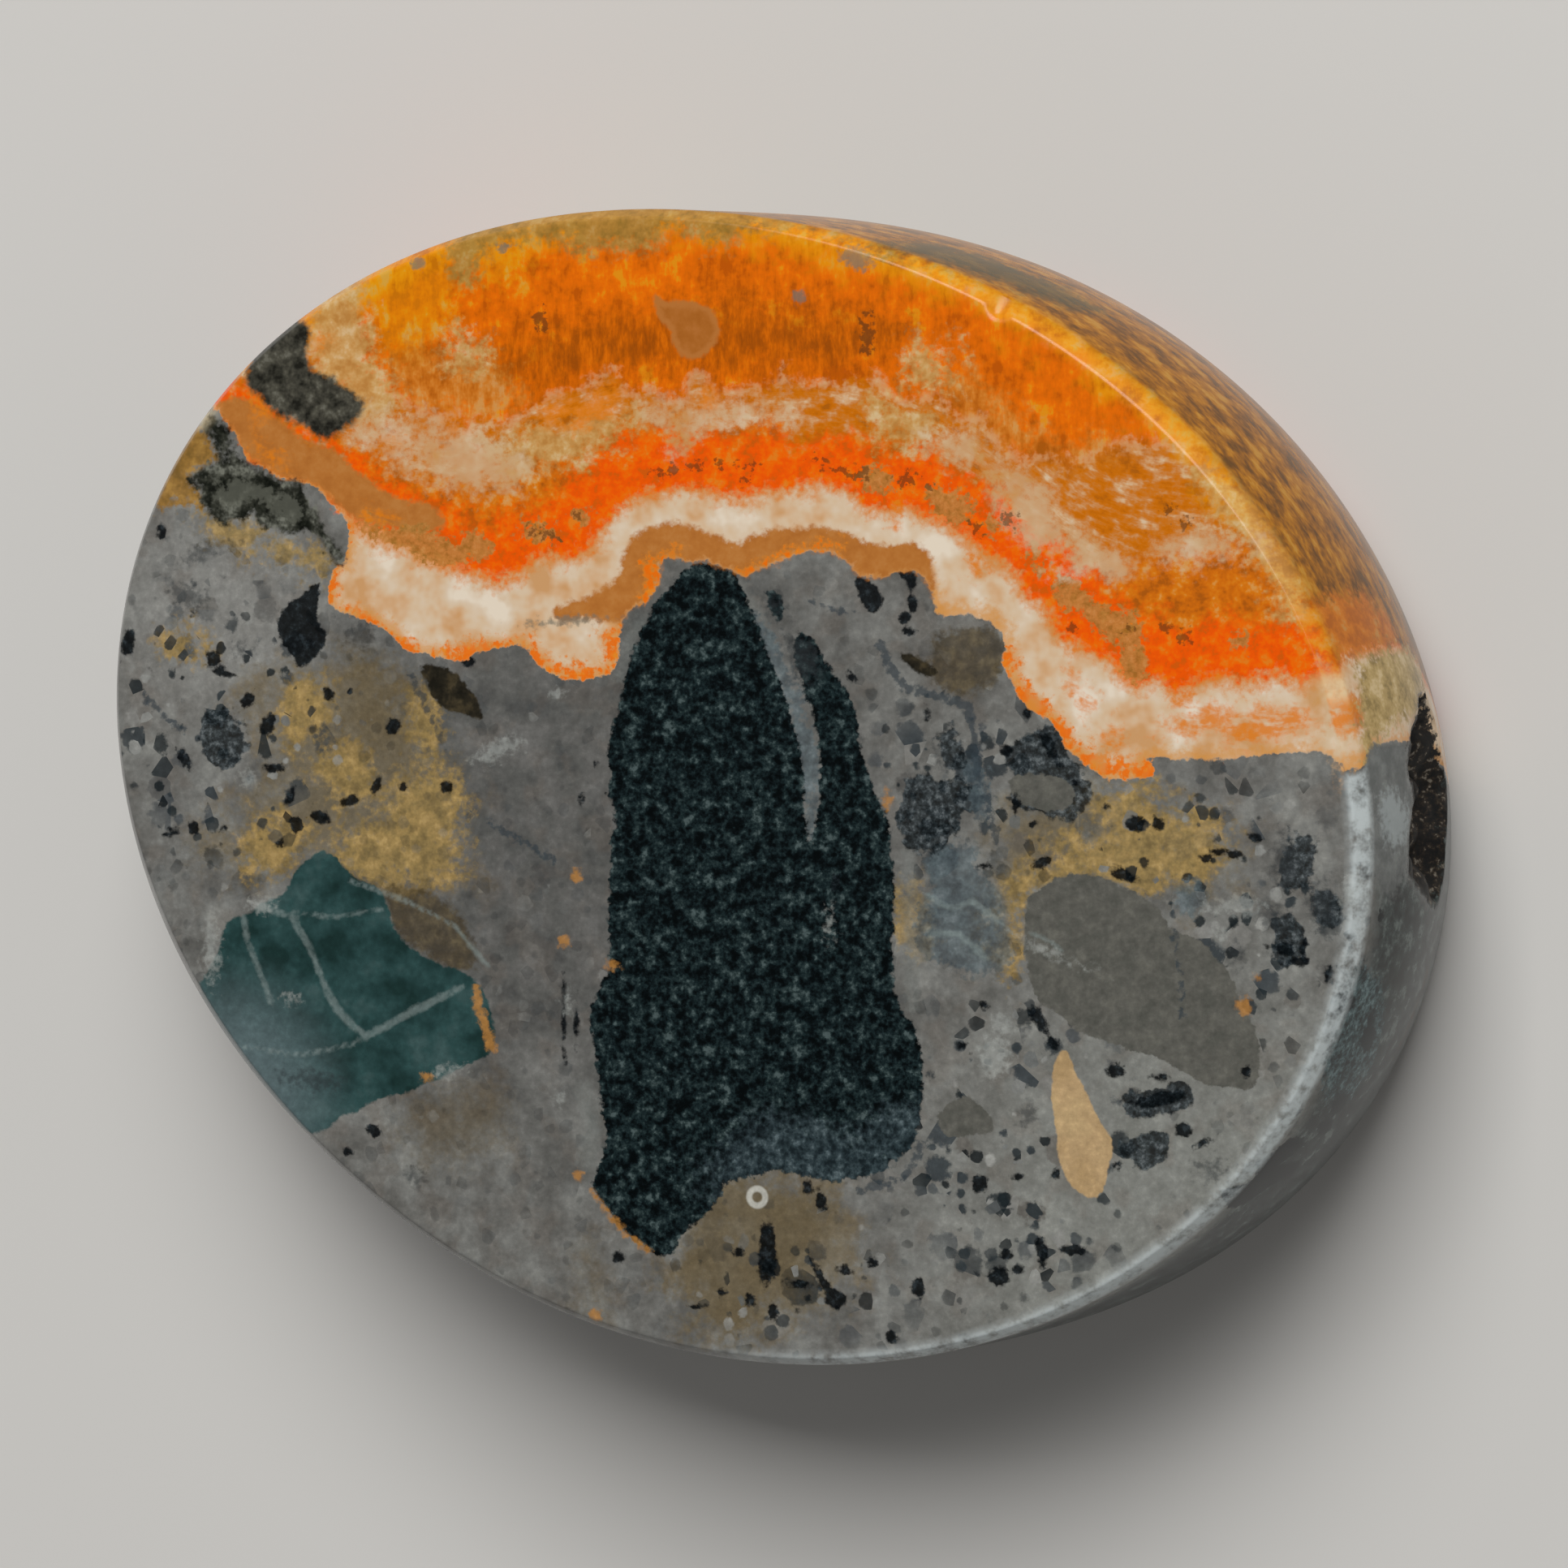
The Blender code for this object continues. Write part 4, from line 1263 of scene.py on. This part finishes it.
def paint_vein(paint):
    """The banded upper half, in order away from the breccia: cream, red-orange, wisps, fibres, tan crust."""
    vein = paint.mask("vein", 0.07, 0.1, 0.15)
    cream = paint.wander("clouds", "#c19262", "#c8a27b", "#cbb192", "#cebaa1", "#d8cab6")
    paint.lay(cream, vein)
    paint.lay("#c8883c", vein, paint.rising(paint.depth_in("vein", 0.4, 0.5), 0.8, 0.0, 0.7))
    salmon = paint.wander("patches", "#a4642a", "#ab6b2f", "#b07338")
    foot = paint.depth_in("band", 0.4, 0.5)
    paint.lay("#cc7a30", vein, paint.rising(foot, -0.8, 0.1, 0.85))
    band = paint.wander("patches", "#c65408", "#dc5002", "#e25202", "#e25c02", "#e06404", "#d6741a")
    paint.lay(band, paint.rising(foot, -0.15, 0.45))
    spent = paint.wander("patches", "#9c520c", "#b4600c", "#c2680c", "#c87414", "#c98e48")
    paint.lay(spent, paint.mask("band", 0.8, 0.8, 0.8, inset=2.8, strength=0.9))
    paint.lay(salmon, paint.mask("salmon", 0.2, 0.15, 0.25))
    islands = paint.wander("pepper", "#8a6428", "#a17034", "#b0783a", "#b88448")
    paint.lay(islands, paint.mask("tan", 0.15, 0.5, 0.6, strength=0.85))
    paint.grain["flames"] = paint.sum((paint.grain["wisps"], 0.6), (paint.grain["patches"], 0.45), -0.025)
    smoke = "#a4580a", "#b86204", "#c06806", "#be7026", "#c08450", "#c89c70", "#ccb090"
    wisps = paint.wander("flames", *smoke)
    paint.lay(wisps, paint.mask("wisp", 0.6, 0.5, 0.6))
    weights = {"fibres": 0.5, "patches": 0.6, "clouds": 0.7}
    drifts = [(paint.grain[name], weight) for name, weight in weights.items()]
    paint.grain["fleece"] = paint.sum(*drifts, -0.4)
    orange = "#b25002", "#c25a02", "#cc6002", "#d46202", "#da6602", "#dc7004", "#d48410"
    fleece = paint.wander("fleece", *orange)
    paint.lay(fleece, paint.mask("fibre", 0.35, 0.4, 0.4))
    russet = paint.wander("fibres", "#8c4404", "#9a4a03", "#aa5202", "#be5c02", "#cc6604")
    paint.lay(russet, paint.mask("russet", 1.4, 0.8, 1.2, strength=0.85))
    gold = paint.wander("fleece", "#c47006", "#d07604", "#d67e04", "#d08a0c", "#c8963c")
    paint.lay(gold, paint.mask("gold", 0.9, 1.0, 1.2, strength=0.85))
    tawny = paint.wander("fleece", "#9c540c", "#ac5e14", "#b86c1e", "#c27c30", "#c28c50")
    paint.lay(tawny, paint.mask("tawny", 0.9, 1.0, 1.2, strength=0.8))
    line = paint.apart(paint.depth_in("fibre", 0.3, 0.35), 0.0)
    broken = paint.rising(paint.grain["patches"], 0.42, 0.56)
    paint.lay("#c69b70", paint.rising(line, 0.45, 0.05, 0.5), vein, broken)
    edge = add(paint.tree, "ShaderNodeAttribute", attribute_name="rimward").outputs["Fac"]
    ragged = paint.sum(edge, (paint.grain["sway"], 4.0), (paint.grain["patches"], 3.0), -3.5)
    fringe = paint.wander("fleece", "#b86a04", "#cc7e04", "#d68a06", "#d89210", "#c89838")
    shallow = paint.rising(paint.height, THICKNESS - 5.0, THICKNESS - 1.0)
    rimmed = paint.rising(ragged, 2.2, 0.3, 0.8)
    paint.lay(fringe, paint.mask("wisp", 0.6, 0.5, 0.5, inset=0.8), rimmed, shallow)
    crust = paint.wander("patches", "#84682c", "#977232", "#a47c38", "#ac8c50")
    paint.lay(crust, paint.mask("crust", 0.6, 0.5, 0.8, inset=-0.1, strength=0.9))
    haze = paint.wander("patches", "#ae7c3e", "#b88a4c", "#c09a60", "#caae80")
    paint.lay(haze, paint.mask("haze", 0.7, 1.0, 1.0, inset=-0.2, strength=0.9))
    pale = paint.wander("clouds", "#bf9058", "#c09a70", "#c4a680", "#ccb698")
    paint.lay(pale, paint.mask("cream", 0.8, 1.2, 0.9, strength=0.8))
    streaky = paint.rising(paint.grain["flames"], 0.38, 0.54)
    paint.lay("#d2740e", paint.mask("amber", 0.5, 0.5, 0.6, strength=0.85), streaky)
    paint.lay("#d07c24", vein, paint.mask("hem", 0.3, 0.5, 0.7, inset=-0.2, strength=0.7))
    hem = paint.wander("patches", "#d67018", "#dc6404", "#e06a06", "#d8801e")
    mottled = paint.rising(paint.grain["clouds"], 0.36, 0.5)
    paint.lay(hem, vein, mottled, paint.mask("hem", 0.2, 0.5, 0.8, inset=0.05, strength=0.9))
    paint.lay("#ab6a30", paint.mask("drop", 0.12, 0.05, 0.12))
    drop = paint.wander("patches", "#9c5a1e", "#a26024", "#a8662c")
    paint.lay(drop, paint.mask("drop", 0.15, 0.05, 0.12, inset=0.3))
    paint.lay("#6a6a5e", paint.mask("fog", 0.15, 0.15, 0.3, strength=0.7))
    paint.lay("#5d3413", paint.mask("bark", 0.1, 0.2, 0.5, strength=0.7))
    mustard = paint.wander("patches", "#74551e", "#8e682a", "#a47c38")
    paint.lay(mustard, paint.mask("mustard", 0.3, 0.4, 0.6, strength=0.9))
    slate = paint.wander("patches", "#1c1b16", "#2e2d26", "#3c3a32", "#4a483e", "#605e54")
    paint.lay(slate, paint.mask("slate", 0.25, 0.4, 0.2))
    mottle = paint.wander("patches", "#0e100b", "#1b1d17", "#2c2d26", "#484941", "#6b6c62")
    paint.lay(mottle, paint.mask("mottle", 0.2, 0.5, 0.3))
    paint.lay("#5b5c52", paint.mask("mottle", 0.25, 0.5, 0.6, inset=0.75, strength=0.6))


def paint_rim(paint):
    """Markings of the side only: the bands are laid in darker brown and gold there, partly their own colour
    and partly painted shade, the grey under a painted shade, and a painted highlight lies on the bevel.
    """
    under_face = paint.rising(paint.height, THICKNESS - 0.2, THICKNESS - 1.0)
    on_side = under_face, paint.rising(paint.height, 0.5, 4.0)
    # The bands on the side, in gold, olive, amber and the cream bank, are laid darker than on the face:
    # partly their own colour, partly painted shade
    gold = paint.wander("rim", "#5e3a02", "#7a4a02", "#925a02", "#a86c04", "#b07c24")
    photographed = paint.rising(paint.across, -12.0, 2.0)
    paint.lay(gold, paint.mask("band", 0.3, 0.3, 0.4, inset=0.2), photographed, *on_side)
    lower = paint.rising(paint.height, 9.0, 2.5, 0.8)
    olive = paint.wander("rim", "#3c341e", "#483e26", "#564a30")
    paint.lay(olive, paint.mask("band", 0.3), lower, photographed, *on_side)
    side_amber = paint.wander("patches", "#a85804", "#b86404", "#c47010", "#bc8038")
    paint.lay(side_amber, paint.mask("amber", 0.6, 0.6, 0.8, strength=0.9), *on_side)
    bank = paint.wander("patches", "#86703e", "#a28852", "#b29862", "#c4ac80")
    paint.lay(bank, paint.mask("bank", 0.4, 0.5, 0.7))
    paint.lay("#4a432a", paint.mask("olive", 1.0, 0.8, 0.8, strength=0.8))
    grey = paint.rising(paint.depth_in("vein"), 0.0, -0.4)
    # Painted shade: under the grey, the right-hand half of the side is laid almost black, from half a
    # millimetre below the face down
    painted_shade = paint.wander("patches", "#060a0a", "#161e1d", "#2e3836", "#5a635f")
    below = paint.rising(paint.height, THICKNESS - 0.5, THICKNESS - 2.5, 0.92)
    paint.lay(painted_shade, grey, below, paint.rising(paint.across, -4.0, 8.0), on_side[1])
    ash = paint.wander("patches", "#595c5a", "#656765", "#727572")
    paint.lay(ash, grey, paint.mask("ash", 0.5, 0.5, 0.6, strength=0.9))
    teal = paint.wander("pepper", "#0c1618", "#283a3c", "#4a6062", "#6e8486")
    paint.lay(teal, grey, paint.mask("murk", 0.4, 0.4, 0.6, strength=0.8), *on_side)
    paint.lay("#070d0f", grey, paint.mask("ink", 0.1, 0.2, 0.3, strength=0.9), *on_side)
    paint.lay("#a2aaaa", grey, paint.mask("chalk", 0.5, 0.4, 0.7, strength=0.6), *on_side)
    paint.lay("#5e3410", grey, paint.mask("rust", 0.3, 0.3, 0.5, strength=0.8), *on_side)
    # Painted highlight on the bevel: a pale blue-white sheen, gold over the band and light cream at the
    # band's foot, patchy and mostly on the right-hand side
    bevel_highlight = add(paint.tree, "ShaderNodeAttribute", attribute_name="bevel").outputs["Fac"]
    highlight_spread = paint.rising(paint.grain["patches"], 0.24, 0.6, 0.75), paint.rising(paint.across, -4.0, 10.0)
    paint.lay("#c0c8c8", bevel_highlight, grey, *highlight_spread)
    bevel_highlight_gold = paint.wander("patches", "#a8640c", "#c07c10", "#cc9018", "#cc9c34", "#c8a868")
    paint.lay(bevel_highlight_gold, bevel_highlight, paint.mask("band", 0.3, strength=0.45), *highlight_spread)
    foot = paint.mask("band", 0.4, inset=-1.2, strength=0.8), paint.rising(paint.depth_in("band"), 0.4, -0.4)
    paint.lay("#dcc8a0", bevel_highlight, *foot, highlight_spread[0])
    vug = paint.wander("pepper", "#050505", "#0c0a08", "#17120d", "#2e251b", "#6e675c")
    paint.lay(vug, paint.mask("vug", 0.2, 0.3, 0.6))


def jasper_material(middle):
    """Bumblebee jasper, cut, lapped and polished: close-grained, so evenly glossy, but dull in the vug."""
    material = bpy.data.materials.new("polished_bumblebee_jasper")
    material.use_nodes = True
    tree = material.node_tree
    shader = tree.nodes["Principled BSDF"]
    paint = Painter(tree, middle)
    paint_breccia(paint)
    paint_vein(paint)
    paint_rim(paint)
    tree.links.new(paint.colour, shader.inputs["Base Color"])
    shader.inputs["IOR"].default_value = 1.54
    shader.inputs["Specular IOR Level"].default_value = 0.2
    dull = {"Value": paint.mask("vug", 0.15), "To Min": 0.24, "To Max": 0.5}
    tree.links.new(add(tree, "ShaderNodeMapRange", dull).outputs["Result"], shader.inputs["Roughness"])
    return material


def floor_material():
    """Matt painted board: an even pale surface with no gloss."""
    material = bpy.data.materials.new("matt_painted_board")
    material.use_nodes = True
    shader = material.node_tree.nodes["Principled BSDF"]
    shader.inputs["Base Color"].default_value = rgba("#c4c2be")
    shader.inputs["Roughness"].default_value = 0.85
    shader.inputs["Specular IOR Level"].default_value = 0.2
    return material


def build_floor():
    """A flat square of four corners on which the stone lies, 5 m wide so that no edge of it shows."""
    half = 2.5
    corners = [(-half, -half, 0), (half, -half, 0), (half, half, 0), (-half, half, 0)]
    mesh = bpy.data.meshes.new("floor")
    mesh.from_pydata(corners, [], [(0, 1, 2, 3)])
    mesh.materials.append(floor_material())
    floor = bpy.data.objects.new("floor", mesh)
    bpy.context.scene.collection.objects.link(floor)


def add_light(name, direction, elevation, distance, size, power):
    """A square soft box that faces the stone from a direction round it and a height above it, in degrees."""
    azimuth, height = math.radians(direction), math.radians(elevation)
    level = Vector((math.cos(azimuth), math.sin(azimuth), 0))
    away = level * math.cos(height) + Vector((0, 0, math.sin(height)))
    data = bpy.data.lights.new(name, "AREA")
    data.size = size
    data.energy = power
    light = bpy.data.objects.new(name, data)
    light.location = away * distance
    light.rotation_mode = "QUATERNION"
    light.rotation_quaternion = away.to_track_quat("Z", "Y")
    bpy.context.scene.collection.objects.link(light)


def build_world():
    """Soft light from all round, brightest half-way up and dim overhead, where the face mirrors it."""
    world = bpy.data.worlds.new("studio")
    world.use_nodes = True
    bpy.context.scene.world = world
    tree = world.node_tree
    coordinates = add(tree, "ShaderNodeTexCoord").outputs["Generated"]
    height = add(tree, "ShaderNodeSeparateXYZ", {"Vector": coordinates}).outputs["Z"]
    greys = [(0.0, "#8c8c8c"), (0.6, "#b0b0b0"), (0.8, "#686868"), (0.88, "#282828")]
    sky = add(tree, "ShaderNodeValToRGB", {"Fac": height}, greys)
    tree.links.new(sky.outputs["Color"], tree.nodes["Background"].inputs["Color"])


def build_camera(middle):
    """The photograph's camera, moved with the stone when its box is centred."""
    data = bpy.data.cameras.new("camera")
    data.lens = LENS
    data.sensor_width = SENSOR
    data.clip_start = 0.01
    camera = bpy.data.objects.new("camera", data)
    turned = Matrix((RIGHT, UP, BACK)).transposed().to_4x4()
    camera.matrix_world = Matrix.Translation((EYE - middle) * METRES) @ turned
    bpy.context.scene.collection.objects.link(camera)
    bpy.context.scene.camera = camera


bpy.context.scene.view_settings.view_transform = "Standard"
stone, stone_middle = build_stone()
stone.data.materials.append(jasper_material(stone_middle))
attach(stone, "root")
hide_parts("palm_stone")
build_floor()
build_world()
add_light("key", direction=100, elevation=55, distance=1.2, size=0.7, power=15.5)
build_camera(stone_middle)
